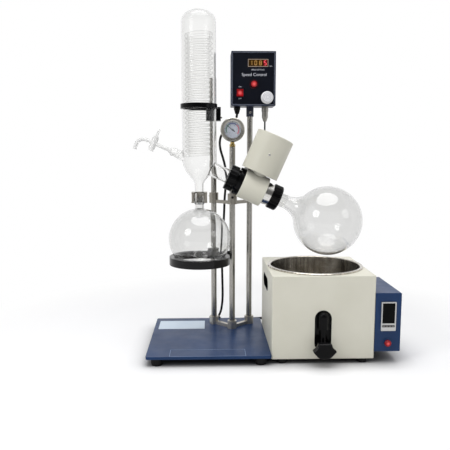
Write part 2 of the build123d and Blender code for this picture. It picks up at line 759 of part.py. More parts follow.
def flask_nut():
    mouth = FLASK_NECK_RADIUS + LOOSE
    bead_end = HUB_NOSE_LENGTH + FLASK_BEAD + LOOSE
    outline = [
        (HUB_NOSE_RADIUS, LOOSE), (FLASK_NUT_RADIUS - 2, LOOSE), (FLASK_NUT_RADIUS, 2),
        (FLASK_NUT_RADIUS, FLASK_NUT_LENGTH - 3), (FLASK_NUT_RADIUS - 3, FLASK_NUT_LENGTH),
        (mouth, FLASK_NUT_LENGTH), (mouth, bead_end + 4), (FLASK_BEAD_RADIUS + LOOSE, bead_end),
        (FLASK_BEAD_RADIUS + LOOSE, HUB_NOSE_LENGTH), (HUB_NOSE_RADIUS, HUB_NOSE_LENGTH),
    ]
    return on_head(HUB_END, fluted(outline, FLASK_NUT_RADIUS, FLASK_NUT_LENGTH))


JOINT_SMALL_RADIUS = GROUND_JOINT_RADIUS - GROUND_JOINT_LENGTH * GROUND_JOINT_TAPER
FLASK_MOUTH = NOSE_END + 0.2


JOINT_END = FLASK_MOUTH + GROUND_JOINT_LENGTH


def neck_flare(neck, ball):
    """Middle and end of the arc from the neck, at the ground joint's end, smoothly onto the ball."""
    reach = FLASK_REACH - JOINT_END
    flare = (neck**2 + reach**2 - ball**2) / (2 * (ball - neck))
    half_turn = acos((neck + flare) / (ball + flare)) / 2
    share = ball / (ball + flare)
    middle = (neck + flare * (1 - cos(half_turn)), JOINT_END + flare * sin(half_turn))
    return middle, ((neck + flare) * share, FLASK_REACH - reach * share)


def evaporating_flask():
    """Round flask with a beaded, flaring neck; its neck bore is the ground socket for the vapour tube."""
    inner_radius = FLASK_RADIUS - FLASK_WALL
    centre = FLASK_REACH
    outer_mid, outer_end = neck_flare(FLASK_NECK_RADIUS, FLASK_RADIUS)
    inner_mid, inner_end = neck_flare(JOINT_SMALL_RADIUS, inner_radius)
    bead_end = FLASK_MOUTH + FLASK_BEAD - 0.2
    edges = [
        Line((0, centre + inner_radius), (0, centre + FLASK_RADIUS)),
        ThreePointArc((0, centre + FLASK_RADIUS), (FLASK_RADIUS, centre), outer_end),
        ThreePointArc(outer_end, outer_mid, (FLASK_NECK_RADIUS, JOINT_END)),
        Polyline(
            (FLASK_NECK_RADIUS, JOINT_END), (FLASK_NECK_RADIUS, bead_end + 3), (FLASK_BEAD_RADIUS, bead_end),
            (FLASK_BEAD_RADIUS, FLASK_MOUTH), (GROUND_JOINT_RADIUS, FLASK_MOUTH),
            (JOINT_SMALL_RADIUS, JOINT_END),
        ),
        ThreePointArc((JOINT_SMALL_RADIUS, JOINT_END), inner_mid, inner_end),
        ThreePointArc(inner_end, (inner_radius, centre), (0, centre + inner_radius)),
    ]
    return on_head(0, turned(Curve() + edges))


def vapour_tube():
    """Glass tube through the spindle; its ground cone seats in the flask neck."""
    tail = FLANGE_FACE - BOSS_LENGTH + 1
    nose = FLASK_MOUTH + GROUND_JOINT_LENGTH
    outline = [
        (VAPOUR_BORE, tail), (VAPOUR_RADIUS, tail), (VAPOUR_RADIUS, FLASK_MOUTH),
        (GROUND_JOINT_RADIUS, FLASK_MOUTH), (JOINT_SMALL_RADIUS, nose), (VAPOUR_BORE, nose),
    ]
    return on_head(0, turned_points(outline))


def motor():
    body = on_motor(NECK_TOP, rod(COVER_RADIUS - COVER_WALL, MOTOR_FLANGE))
    body += on_motor(NECK_TOP, rod(MOTOR_RADIUS, MOTOR_TOP - NECK_TOP))
    return body - on_motor(NECK_TOP, rod(SHAFT_RADIUS + RUNNING, SHAFT_TOP - NECK_TOP + LOOSE))


def lead_entry():
    """Where the motor lead goes through the back of the motor cover."""
    return Vector(CONNECTOR_X, HEAD_Y + COVER_RADIUS, LEAD_LEVEL)


def motor_cover():
    cover = on_motor(NECK_TOP, rod(COVER_RADIUS, COVER_TOP - NECK_TOP))
    cover = fillet(cover.edges().sort_by(Axis((0, 0, 0), W_AXIS))[-1], COVER_EDGE)
    cover -= on_motor(NECK_TOP, rod(COVER_RADIUS - COVER_WALL, COVER_TOP - NECK_TOP - COVER_WALL))
    hole = Rot(90, 0, 0) * rod(LEAD_RADIUS, 2 * COVER_WALL)
    return cover - Pos(*lead_entry()) * Pos(0, COVER_WALL / 2, 0) * hole


def condenser_outline(shrink):
    """Jacket profile from the apex down to the neck, moved in by shrink."""
    radius = JACKET_RADIUS - shrink
    neck = NECK_GLASS_RADIUS - shrink
    top = JACKET_TOP - shrink
    dome_foot = JACKET_TOP - DOME_RISE
    shoulder = dome_foot + DOME_FULLNESS * (DOME_RISE - shrink)
    belly = ARM_Z + BELLY_RISE
    throat = ARM_Z - BELLY_DROP
    return [
        Bezier((0, top), (DOME_FULLNESS * radius, top), (radius, shoulder), (radius, dome_foot)),
        Line((radius, dome_foot), (radius, belly)),
        Bezier(
            (radius, belly), (radius, belly - BELLY_HANDLE), (neck, throat + THROAT_HANDLE), (neck, throat)
        ),
    ]


def hose_end_places():
    """Level and side of the two hose ends that leave the back of the jacket."""
    top = JACKET_TOP - COIL_TOP_DROP
    bottom = top - COIL_TURNS * COIL_PITCH
    return [(-COIL_RADIUS, bottom), (COIL_RADIUS, top)]


def hose_leg(x, z, radius, bore_start=0.0):
    length = sqrt(JACKET_RADIUS**2 - x**2) + HOSE_END_REACH - bore_start
    return Pos(CONDENSER_X + x, HEAD_Y + bore_start, z) * Rot(-90, 0, 0) * rod(radius, length)


def condenser_jacket():
    throat = ARM_Z - BELLY_DROP
    ball_top = BALL_Z + sqrt(BALL_RADIUS**2 - NECK_GLASS_RADIUS**2)
    ball_end = (sqrt(BALL_RADIUS**2 - BALL_CUT**2), BALL_Z - BALL_CUT)
    outside = condenser_outline(0) + [
        Line((NECK_GLASS_RADIUS, throat), (NECK_GLASS_RADIUS, ball_top)),
        ThreePointArc((NECK_GLASS_RADIUS, ball_top), (BALL_RADIUS, BALL_Z), ball_end),
        Polyline(ball_end, (0, ball_end[1]), (0, JACKET_TOP)),
    ]
    inside = condenser_outline(JACKET_WALL) + [
        Polyline(
            (GLASS_BORE, throat), (GLASS_BORE, ball_end[1]), (0, ball_end[1]), (0, JACKET_TOP - JACKET_WALL)
        ),
    ]
    axis = Pos(CONDENSER_X, HEAD_Y, 0)
    arm = turned_points([
        (0, ARM_U), (ARM_GLASS_RADIUS, ARM_U), (ARM_GLASS_RADIUS, BEAD_FACE - BEAD_THICK - BEAD_SLOPE),
        (BEAD_RADIUS, BEAD_FACE - BEAD_THICK), (BEAD_RADIUS, BEAD_FACE), (0, BEAD_FACE),
    ])
    socket = Pos(0, 0, SOCKET_END_U) * rod(SOCKET_RADIUS, ARM_U - SOCKET_END_U)
    jacket = axis * turned(Curve() + outside) + on_head(0, arm) + on_head(0, socket)
    jacket -= axis * turned(Curve() + inside)
    jacket -= on_head(ARM_U, rod(ARM_GLASS_RADIUS - JACKET_WALL, BEAD_FACE - ARM_U))
    jacket -= on_head(0, feed_cone(ARM_U))
    for x, z in hose_end_places():
        jacket -= hose_leg(x, z, COIL_TUBE_RADIUS)
    return jacket


def feed_cone(inner_end):
    """Tapered bore or plug of the feed socket, from its mouth inwards to inner_end."""
    length = inner_end - SOCKET_END_U
    narrow = max(SOCKET_BORE - SOCKET_TAPER * length, FEED_RADIUS)
    outline = [(0, SOCKET_END_U), (SOCKET_BORE, SOCKET_END_U), (narrow, inner_end), (0, inner_end)]
    return turned_points(outline)


def condenser_coil():
    """Glass coil of many turns, with an end leg at the bottom and the top through the jacket's back."""
    (low_x, low_z), (high_x, high_z) = hose_end_places()
    steps = int((COIL_TURNS + 0.5) * COIL_STEPS)
    climb = (high_z - low_z) / steps
    points = []
    for step in range(steps + 1):
        angle = pi + 2 * pi * step / COIL_STEPS
        points.append(
            (CONDENSER_X + COIL_RADIUS * cos(angle), HEAD_Y + COIL_RADIUS * sin(angle), low_z + climb * step)
        )
    path = Polyline(*points)
    across = Plane(points[0], x_dir=(1, 0, 0), z_dir=(0, -1, 0))
    section = across * RegularPolygon(COIL_TUBE_RADIUS, COIL_SIDES)
    coil = sweep(section, path=path, transition=Transition.RIGHT)
    for x, z in hose_end_places():
        coil += hose_leg(x, z, COIL_TUBE_RADIUS)
        tip = sqrt(JACKET_RADIUS**2 - x**2) + HOSE_END_REACH - HOSE_BARB_LENGTH
        barb = Cone(HOSE_BARB_RADIUS, COIL_TUBE_RADIUS, HOSE_BARB_LENGTH, align=UPRIGHT)
        coil += Pos(CONDENSER_X + x, HEAD_Y + tip, z) * Rot(-90, 0, 0) * barb
    return coil


VALVE_U = SOCKET_END_U - VALVE_SETBACK


def spout_path():
    """Feed line from the valve: straight on, then bent down to its tip, in the head's plane."""
    start = HEAD.from_local_coords(Vector(0, 0, VALVE_U))
    bend = HEAD.from_local_coords(Vector(0, 0, VALVE_U - SPOUT_STRAIGHT))
    hub = HEAD.from_local_coords(Vector(-SPOUT_BEND, 0, VALVE_U - SPOUT_STRAIGHT))
    half = radians(SPOUT_TURN / 2)
    full = radians(SPOUT_TURN)
    middle = hub + (W_AXIS * cos(half) - U_AXIS * sin(half)) * SPOUT_BEND
    end = hub + (W_AXIS * cos(full) - U_AXIS * sin(full)) * SPOUT_BEND
    down = W_AXIS * -sin(full) - U_AXIS * cos(full)
    edges = [Line(start, bend), ThreePointArc(bend, middle, end), Line(end, end + down * SPOUT_TIP)]
    return Curve() + edges


def swept_rod(path, radius):
    wire = Wire(path.edges())
    section = Plane(wire @ 0, z_dir=wire % 0) * Circle(radius)
    return sweep(section, path=wire)


def feed_tube():
    """Feed line with its ground cone, stopcock barrel and bent spout."""
    cone_end = SOCKET_END_U + FEED_CONE_LENGTH
    neck = turned_points([
        (0, VALVE_U), (FEED_RADIUS, VALVE_U), (FEED_RADIUS, SOCKET_END_U - FEED_SHOULDER),
        (SOCKET_BORE, SOCKET_END_U), (0, SOCKET_END_U),
    ])
    tube = on_head(0, neck) + on_head(0, feed_cone(cone_end)) + swept_rod(spout_path(), FEED_RADIUS)
    barrel = on_head(VALVE_U, Rot(0, 90, 0) * Cylinder(VALVE_RADIUS, 2 * VALVE_HALF))
    tube += barrel
    tube -= on_head(VALVE_U, rod(FEED_BORE, cone_end - VALVE_U))
    tube -= swept_rod(spout_path(), FEED_BORE)
    return tube - on_head(VALVE_U, Rot(0, 90, 0) * Cylinder(KEY_RADIUS + RUNNING, 2 * VALVE_HALF))


def stopcock_key():
    """Stopcock plug with a flat grip above the barrel and a retaining nut below."""
    foot_nut = Pos(0, 0, -VALVE_HALF - LOOSE - KEY_NUT_LENGTH) * rod(KEY_NUT_RADIUS, KEY_NUT_LENGTH)
    plug = Pos(0, 0, -VALVE_HALF - LOOSE) * rod(KEY_RADIUS, 2 * VALVE_HALF + LOOSE + KEY_STEM)
    collar = Pos(0, 0, VALVE_HALF + LOOSE) * rod(KEY_NUT_RADIUS, KEY_STEM / 2)
    grip = extrude(SlotOverall(KEY_GRIP_LENGTH, KEY_GRIP_WIDTH), KEY_GRIP_THICK / 2, both=True)
    grip = Pos(0, 0, VALVE_HALF + KEY_STEM / 2 + KEY_GRIP_LENGTH / 2) * Rot(0, 90, 0) * grip
    key = foot_nut + plug + collar + grip
    key -= Rot(0, 90, 0) * Cylinder(KEY_PORT_RADIUS, 2 * KEY_RADIUS)
    return MOTOR_AXIS.location * Pos(VALVE_U, 0, 0) * key


def condenser_clamp():
    """Band round the condenser with a bar to its clamp block on the left pole."""
    bottom = CLAMP_Z - CLAMP_HEIGHT / 2
    axis = (CONDENSER_X, HEAD_Y, bottom)
    block = Box(BOSS_BLOCK_WIDTH, BOSS_BLOCK_DEPTH, BOSS_BLOCK_HEIGHT)
    clamp = Pos(LEFT_POLE_X, REAR_POLE_Y, BOSS_BLOCK_Z) * fillet(block.edges().filter_by(Axis.Z), 4)
    clamp += tie(axis, (LEFT_POLE_X, REAR_POLE_Y, bottom), CLAMP_BAR_WIDTH, CLAMP_HEIGHT)
    clamp += Pos(*axis) * rod(JACKET_RADIUS + CLAMP_THICK, CLAMP_HEIGHT)
    clamp -= Pos(*axis) * rod(JACKET_RADIUS + LOOSE / 2, CLAMP_HEIGHT)
    clamp -= Pos(LEFT_POLE_X, REAR_POLE_Y, 0) * rod(POLE_RADIUS, LEFT_POLE_TOP)
    return clamp - BLOCK_SCREW * screw_hole(BLOCK_GRIP)


CUP_RADIUS = BALL_RADIUS + CUP_WALL
CUP_FOOT = BALL_Z - BALL_CUT - 4.0
CUP_RIM = BALL_Z - 5.0
FORK_SHARE = 0.55
FORK_LEVEL = CUP_FOOT + (CUP_RIM - CUP_FOOT) * FORK_SHARE
FORK_HOLE = NECK_GLASS_RADIUS + (CUP_RADIUS - NECK_GLASS_RADIUS) * FORK_SHARE + LOOSE
CLIP_BOTTOM = FORK_LEVEL - CLIP_PLATE
CLIP_HOLE = NECK_GLASS_RADIUS + LOOSE
CLIP_TOP = BALL_Z + sqrt(BALL_RADIUS**2 - CLIP_HOLE**2) + CLIP_PLATE


def joint_clip():
    """Clip of two forks, joined at the back and by two front posts, that holds the ball in its cup."""
    height = CLIP_TOP - CLIP_BOTTOM
    outline = RectangleRounded(CLIP_WIDTH, CLIP_DEPTH, 4)
    clip = extrude(outline, height)
    gap = Box(CLIP_WIDTH, CLIP_DEPTH - CLIP_PLATE, height - 2 * CLIP_PLATE, align=BEFORE)
    clip -= Pos(0, CLIP_DEPTH / 2 - CLIP_PLATE, CLIP_PLATE) * gap
    for radius, level in ((FORK_HOLE, 0), (CLIP_HOLE, height - CLIP_PLATE)):
        mouth = Box(2 * radius, CLIP_DEPTH, CLIP_PLATE, align=BEFORE)
        clip -= Pos(0, 0, level) * (rod(radius, CLIP_PLATE) + mouth)
    post_y = CLIP_POST_RADIUS + 0.8 - CLIP_DEPTH / 2
    for side in (-1, 1):
        post_x = side * (CLIP_WIDTH / 2 - CLIP_POST_RADIUS - 0.8)
        clip += Pos(post_x, post_y, 0) * rod(CLIP_POST_RADIUS, height)
    return Pos(CONDENSER_X, HEAD_Y, CLIP_BOTTOM) * clip


def receiving_flask():
    """Round flask whose neck ends in the cup of the ball joint."""
    inner_radius = RECEIVER_RADIUS - RECEIVER_WALL
    ball_end = (sqrt(BALL_RADIUS**2 - BALL_CUT**2), BALL_Z - BALL_CUT)
    half_turn = radians(45)
    cup_mid = (BALL_RADIUS * cos(half_turn / 1.6), BALL_Z - BALL_RADIUS * sin(half_turn / 1.6))
    shoulder = RECEIVER_Z + sqrt(RECEIVER_RADIUS**2 - NECK_GLASS_RADIUS**2)
    bore_foot = RECEIVER_Z + sqrt(inner_radius**2 - GLASS_BORE**2)
    edges = [
        Line((0, RECEIVER_Z - inner_radius), (0, RECEIVER_Z - RECEIVER_RADIUS)),
        ThreePointArc(
            (0, RECEIVER_Z - RECEIVER_RADIUS), (RECEIVER_RADIUS, RECEIVER_Z), (NECK_GLASS_RADIUS, shoulder)
        ),
        Polyline(
            (NECK_GLASS_RADIUS, shoulder), (NECK_GLASS_RADIUS, CUP_FOOT), (CUP_RADIUS, CUP_RIM),
            (CUP_RADIUS, BALL_Z), (BALL_RADIUS, BALL_Z),
        ),
        ThreePointArc((BALL_RADIUS, BALL_Z), cup_mid, ball_end),
        Polyline(ball_end, (GLASS_BORE, ball_end[1] - 1), (GLASS_BORE, bore_foot)),
        ThreePointArc((GLASS_BORE, bore_foot), (inner_radius, RECEIVER_Z), (0, RECEIVER_Z - inner_radius)),
    ]
    return Pos(CONDENSER_X, HEAD_Y, 0) * turned(Curve() + edges)


def receiver_ring():
    """Ring under the receiving flask, on a boss that slides on the left pole."""
    bottom = RING_TOP - RING_HEIGHT
    axis = (CONDENSER_X, HEAD_Y, bottom)
    ring = Pos(*axis) * rod(RING_RADIUS, RING_HEIGHT)
    ring += tie(axis, (LEFT_POLE_X, REAR_POLE_Y, bottom), RING_BAR_WIDTH, RING_HEIGHT)
    boss_bottom = RING_TOP - RING_HEIGHT / 2 - RING_BOSS_HEIGHT / 2
    ring += Pos(LEFT_POLE_X, REAR_POLE_Y, boss_bottom) * rod(RING_BOSS_RADIUS, RING_BOSS_HEIGHT)
    ring -= Pos(*axis) * Cone(RING_SEAT_RADIUS - 2, RING_SEAT_RADIUS, RING_HEIGHT, align=UPRIGHT)
    ring -= Pos(LEFT_POLE_X, REAR_POLE_Y, boss_bottom) * rod(POLE_RADIUS + RUNNING, RING_BOSS_HEIGHT)
    return ring - thumb_seat() * Pos(0, 0, -RING_BOSS_RADIUS) * rod(THUMB_STEM_RADIUS, RING_BOSS_RADIUS)


def thumb_seat():
    """Outer face of the ring's boss, on its right."""
    level = RING_TOP - RING_HEIGHT / 2
    return Pos(LEFT_POLE_X + RING_BOSS_RADIUS, REAR_POLE_Y, level) * Rot(0, 90, 0)


def ring_screw():
    tip = RING_BOSS_RADIUS - POLE_RADIUS - LOOSE
    screw = Pos(0, 0, -tip) * rod(THUMB_STEM_RADIUS, tip + THUMB_STEM)
    head = Pos(0, 0, THUMB_STEM) * rod(THUMB_RADIUS, THUMB_LENGTH)
    for turn in around(8):
        head -= turn * Pos(THUMB_RADIUS + 1, 0, THUMB_STEM) * rod(2, THUMB_LENGTH)
    return thumb_seat() * (screw + head)


DIAL_RADIUS = GAUGE_RADIUS - BEZEL_WIDTH
LENS_BACK = BEZEL_LIP + LENS_THICK
DIAL_BACK = LENS_BACK + DIAL_GAP + DIAL_THICK


def on_gauge(depth, part):
    """Put a part made along z on the gauge axis; depth is measured back from the bezel's front."""
    return facing_front(FRONT_POLE_X, GAUGE_FRONT + depth, GAUGE_Z, part)


def gauge_case():
    bezel = turned_points([
        (0, -GAUGE_DEPTH), (GAUGE_BODY_RADIUS - 2, -GAUGE_DEPTH), (GAUGE_BODY_RADIUS, -GAUGE_DEPTH + 2),
        (GAUGE_BODY_RADIUS, -BEZEL_DEPTH), (GAUGE_RADIUS, -BEZEL_DEPTH), (GAUGE_RADIUS, -2),
        (GAUGE_RADIUS - 2, 0), (DIAL_RADIUS - 1, 0), (DIAL_RADIUS - 1, -BEZEL_LIP), (DIAL_RADIUS, -BEZEL_LIP),
        (DIAL_RADIUS, -DIAL_BACK), (0, -DIAL_BACK),
    ])
    return on_gauge(0, bezel)


def gauge_lens():
    return on_gauge(LENS_BACK, rod(DIAL_RADIUS, LENS_THICK))


def gauge_dial():
    """Dial plate with the needle's pivot post."""
    plate = rod(DIAL_RADIUS, DIAL_THICK) + rod(PIVOT_RADIUS, DIAL_THICK + DIAL_GAP - LOOSE)
    return on_gauge(DIAL_BACK, plate)


def gauge_needle():
    blade = make_face(Polyline(
        (-NEEDLE_TAIL, NEEDLE_WIDTH / 2), (-NEEDLE_TAIL, -NEEDLE_WIDTH / 2), (0, -NEEDLE_WIDTH / 2),
        (NEEDLE_LENGTH, -0.4), (NEEDLE_LENGTH, 0.4), (0, NEEDLE_WIDTH / 2), close=True,
    ))
    needle = extrude(blade, NEEDLE_THICK) + rod(NEEDLE_HUB_RADIUS, NEEDLE_THICK * 2)
    needle -= rod(PIVOT_RADIUS + RUNNING, NEEDLE_THICK * 2)
    return on_gauge(LENS_BACK + DIAL_GAP - LOOSE, Rot(0, 0, NEEDLE_ANGLE) * needle)


def gauge_fitting():
    """Brass hexagon that joins the gauge to the pole's end."""
    top = GAUGE_Z - GAUGE_BODY_RADIUS
    hexagon = extrude(RegularPolygon(FITTING_RADIUS, 6), FITTING_HEIGHT / 2)
    fitting = Pos(FRONT_POLE_X, FRONT_POLE_Y, FRONT_POLE_TOP) * hexagon
    stem = rod(FITTING_RADIUS * 0.7, top + GAUGE_BODY_RADIUS * 0.3 - FRONT_POLE_TOP)
    fitting += Pos(FRONT_POLE_X, FRONT_POLE_Y, FRONT_POLE_TOP) * stem
    return fitting - on_gauge(GAUGE_DEPTH, rod(GAUGE_BODY_RADIUS, GAUGE_DEPTH))


def on_panel(place, part, proud=0.0):
    """Put a part made along z on the controller's panel, pointing out of it."""
    return facing_front(CASE_X + place[0], PANEL_FRONT - proud, CASE_MID_Z + place[1], part)


def controller_case():
    """Sheet case, open at the front, with the sleeve below that takes the right pole."""
    body = Box(CASE_WIDTH, CASE_DEPTH, CASE_HEIGHT)
    body = fillet(body.edges().filter_by(Axis.Y), CASE_EDGE)
    room = Box(CASE_WIDTH - 2 * PANEL_FRAME, CASE_DEPTH, CASE_HEIGHT - 2 * PANEL_FRAME)
    body -= Pos(0, -CASE_WALL, 0) * room
    case = Pos(CASE_X, REAR_POLE_Y, CASE_MID_Z) * body
    sleeve = pipe(SLEEVE_RADIUS, POLE_RADIUS, SLEEVE_LENGTH)
    case += Pos(RIGHT_POLE_X, REAR_POLE_Y, CASE_BOTTOM - SLEEVE_LENGTH) * sleeve
    return case - SLEEVE_SCREW * screw_hole(SLEEVE_GRIP)


def controller_panel():
    """Front panel with its display recess, switch frame, button shoulder and knob hole."""
    plate = Box(CASE_WIDTH - 2 * PANEL_FRAME, PANEL_THICK, CASE_HEIGHT - 2 * PANEL_FRAME)
    panel = Pos(CASE_X, PANEL_FRONT + PANEL_THICK / 2, CASE_MID_Z) * plate
    display = Box(DISPLAY_WIDTH, DISPLAY_HEIGHT, DISPLAY_DEPTH)
    panel -= on_panel(DISPLAY_PLACE, display, proud=-DISPLAY_DEPTH / 2)
    panel += on_panel(START_PLACE, rod(SHOULDER_RADIUS, SHOULDER_PROUD))
    well = START_TRAVEL + LOOSE + PANEL_THICK
    panel += on_panel(START_PLACE, rod(SHOULDER_RADIUS, well), proud=-well - PANEL_THICK)
    panel -= on_panel(START_PLACE, rod(START_RADIUS + LOOSE, well + SHOULDER_PROUD), proud=-well)
    frame_width = ROCKER_WIDTH + 2 * (ROCKER_GAP + ROCKER_FRAME)
    frame_height = ROCKER_HEIGHT + 2 * (ROCKER_GAP + ROCKER_FRAME)
    room_depth = ROCKER_DEPTH + ROCKER_GAP
    frame = Box(frame_width, frame_height, room_depth + SHOULDER_PROUD + PANEL_THICK, align=UPRIGHT)
    panel += on_panel(ROCKER_PLACE, frame, proud=-room_depth - PANEL_THICK)
    room_height = ROCKER_HEIGHT + 2 * ROCKER_GAP
    room = Box(ROCKER_WIDTH + 2 * LOOSE, room_height, room_depth + SHOULDER_PROUD, align=UPRIGHT)
    panel -= on_panel(ROCKER_PLACE, room, proud=-room_depth)
    bush = KNOB_SHAFT_LENGTH + LOOSE
    panel += on_panel(KNOB_PLACE, rod(KNOB_SHAFT_RADIUS * 2, bush + PANEL_THICK), proud=-bush - PANEL_THICK)
    return panel - on_panel(KNOB_PLACE, rod(KNOB_SHAFT_RADIUS + RUNNING, bush), proud=-bush)


def speed_knob():
    """Knob with a skirt, a fluted crown and a shaft in the panel's bush."""
    knob = turned_points([
        (0, -KNOB_SHAFT_LENGTH), (KNOB_SHAFT_RADIUS, -KNOB_SHAFT_LENGTH), (KNOB_SHAFT_RADIUS, LOOSE),
        (KNOB_RADIUS, LOOSE), (KNOB_RADIUS, KNOB_SKIRT), (KNOB_CROWN_RADIUS + 0.8, KNOB_SKIRT + 1),
        (KNOB_CROWN_RADIUS, KNOB_HEIGHT - 1.5), (KNOB_CROWN_RADIUS - 1.5, KNOB_HEIGHT), (0, KNOB_HEIGHT),
    ])
    for turn in around(12):
        knob -= turn * Pos(KNOB_CROWN_RADIUS + 1.6, 0, KNOB_SKIRT + 1) * rod(2.2, KNOB_HEIGHT)
    return on_panel(KNOB_PLACE, knob)


def rocker_switch():
    """Rocker whose two faces meet in a shallow V, tilted to its ON side."""
    half = ROCKER_HEIGHT / 2
    dip = half * tan(radians(ROCKER_TILT))
    side = make_face(Polyline(
        (-half, dip), (0, 0), (half, dip), (half - 1, -ROCKER_DEPTH / 2), (0, -ROCKER_DEPTH + ROCKER_GAP),
        (1 - half, -ROCKER_DEPTH / 2), close=True,
    ))
    paddle = Plane.YZ * side
    rocker = extrude(paddle, ROCKER_WIDTH / 2, both=True)
    return on_panel(ROCKER_PLACE, Rot(-ROCKER_TILT, 0, 0) * rocker, proud=SHOULDER_PROUD - 1)


def start_button():
    crown = START_PROUD + START_TRAVEL
    cap = turned_points([
        (0, -PANEL_THICK), (START_RADIUS, -PANEL_THICK), (START_RADIUS, crown - 2),
        (START_RADIUS - 1.5, crown - 0.5), (START_RADIUS - 4, crown), (0, crown),
    ])
    return on_panel(START_PLACE, cap)


GLAND_X = CASE_X + GLAND_OFFSET_X - CASE_OFFSET


def cord_gland():
    gland = turned_points([
        (CORD_RADIUS, 0), (GLAND_RADIUS, 0), (GLAND_RADIUS, -GLAND_NUT), (GLAND_RADIUS - 1, -GLAND_NUT - 1),
        (GLAND_TIP_RADIUS, -GLAND_LENGTH), (CORD_RADIUS, -GLAND_LENGTH),
    ])
    return Pos(GLAND_X, UNDER_Y, CASE_BOTTOM) * gland


def motor_connector():
    body_end = CONNECTOR_LENGTH - CONNECTOR_TIP
    plug = turned_points([
        (LEAD_RADIUS, 0), (CONNECTOR_RADIUS, 0), (CONNECTOR_RADIUS, -body_end * 0.45),
        (CONNECTOR_RADIUS - 1, -body_end * 0.5), (CONNECTOR_RADIUS - 1, -body_end),
        (CONNECTOR_TIP_RADIUS, -CONNECTOR_LENGTH), (LEAD_RADIUS, -CONNECTOR_LENGTH),
    ])
    return Pos(CONNECTOR_X, UNDER_Y, CASE_BOTTOM) * plug


def cord_path(points, share):
    """Straight runs joined by arcs as large as the runs allow; returns the path and its radii."""
    runs = [Vector(*after) - Vector(*before) for before, after in zip(points, points[1:])]
    room = [run.length for run in runs]
    room[0] *= 2
    room[-1] *= 2
    radii = []
    for index in range(1, len(runs)):
        turn = radians(runs[index - 1].get_angle(runs[index]))
        radii.append(share * min(room[index - 1], room[index]) / tan(turn / 2))
    return FilletPolyline(*points, radius=radii), radii


def motor_lead():
    """Short lead from the controller's connector into the back of the motor cover."""
    entry = lead_entry()
    start = (entry.X, UNDER_Y, CASE_BOTTOM - CONNECTOR_LENGTH * 0.9)
    corner = (entry.X, UNDER_Y, entry.Z)
    path, radii = cord_path([start, corner, (entry.X, entry.Y - COVER_WALL, entry.Z)], LEAD_BEND_SHARE)
    return swept_rod(path, LEAD_RADIUS)


def cord_level(share):
    """Height at that share of the way from the plate up to the controller."""
    return PLATE_TOP + share * (CASE_BOTTOM - PLATE_TOP)


CORD_POINTS = [
    (GLAND_X, UNDER_Y, CASE_BOTTOM - GLAND_LENGTH + 1.0),
    (GLAND_X, UNDER_Y, CASE_BOTTOM - GLAND_LENGTH - 21.0),
    (FRONT_POLE_X - 41.5, FRONT_POLE_Y + 32.0, cord_level(0.86)),
    (FRONT_POLE_X - 11.5, FRONT_POLE_Y + 30.0, cord_level(0.71)),
    (FRONT_POLE_X - 20.5, FRONT_POLE_Y + 32.0, cord_level(0.604)),
    (FRONT_POLE_X - 22.0, FRONT_POLE_Y + 36.0, cord_level(0.508)),
    (FRONT_POLE_X - 26.0, FRONT_POLE_Y + 38.0, cord_level(0.412)),
    (FRONT_POLE_X - 28.5, FRONT_POLE_Y + 37.0, cord_level(0.316)),
    (FRONT_POLE_X - 27.0, FRONT_POLE_Y + 37.5, cord_level(0.22)),
    (FRONT_POLE_X - 25.5, FRONT_POLE_Y + 42.0, cord_level(0.133)),
    (FRONT_POLE_X - 28.5, FRONT_POLE_Y + 56.0, 66.0),
    (FRONT_POLE_X - 34.5, FRONT_POLE_Y + 79.0, 41.0),
    (FRONT_POLE_X - 37.5, FRONT_POLE_Y + 105.0, 29.5),
    (FRONT_POLE_X - 31.5, FRONT_POLE_Y + 128.0, 12.0),
    (FRONT_POLE_X - 13.5, FRONT_POLE_Y + 147.0, CORD_RADIUS + CORD_CLEAR),
    (FRONT_POLE_X + 14.5, FRONT_POLE_Y + 156.0, CORD_RADIUS + CORD_CLEAR),
    (FRONT_POLE_X + 50.5, FRONT_POLE_Y + 159.0, CORD_RADIUS + CORD_CLEAR),
    (FRONT_POLE_X + 90.5, FRONT_POLE_Y + 163.0, CORD_RADIUS + CORD_CLEAR),
    (FRONT_POLE_X + 130.5, FRONT_POLE_Y + 170.5, CORD_RADIUS + CORD_CLEAR),
    (CORD_COIL_X - 28.0, CORD_COIL_Y + COIL_TURN_RADIUS + 0.6, CORD_RADIUS + CORD_CLEAR),
    (CORD_COIL_X, CORD_COIL_Y + COIL_TURN_RADIUS, CORD_RADIUS + CORD_CLEAR),
]


def mains_cord():
    path, radii = cord_path(CORD_POINTS, CORD_BEND_SHARE)
    cord = swept_rod(path, CORD_RADIUS)
    length = sum(edge.length for edge in path.edges())
    print("cord length", round(length), "volume", round(cord.volume / (pi * CORD_RADIUS**2 * length), 4))
    print("cord radii", [round(radius) for radius in radii])
    return cord - cord_coil()


def cord_coil():
    """Outer shape of the wound cord that lies behind the bath."""
    reach = CORD_RADIUS * COIL_TURN_ROWS
    ring = pipe(COIL_TURN_RADIUS + reach, COIL_TURN_RADIUS - reach, 2 * CORD_RADIUS * COIL_TURN_ROWS)
    return Pos(CORD_COIL_X, CORD_COIL_Y, CORD_CLEAR) * ring


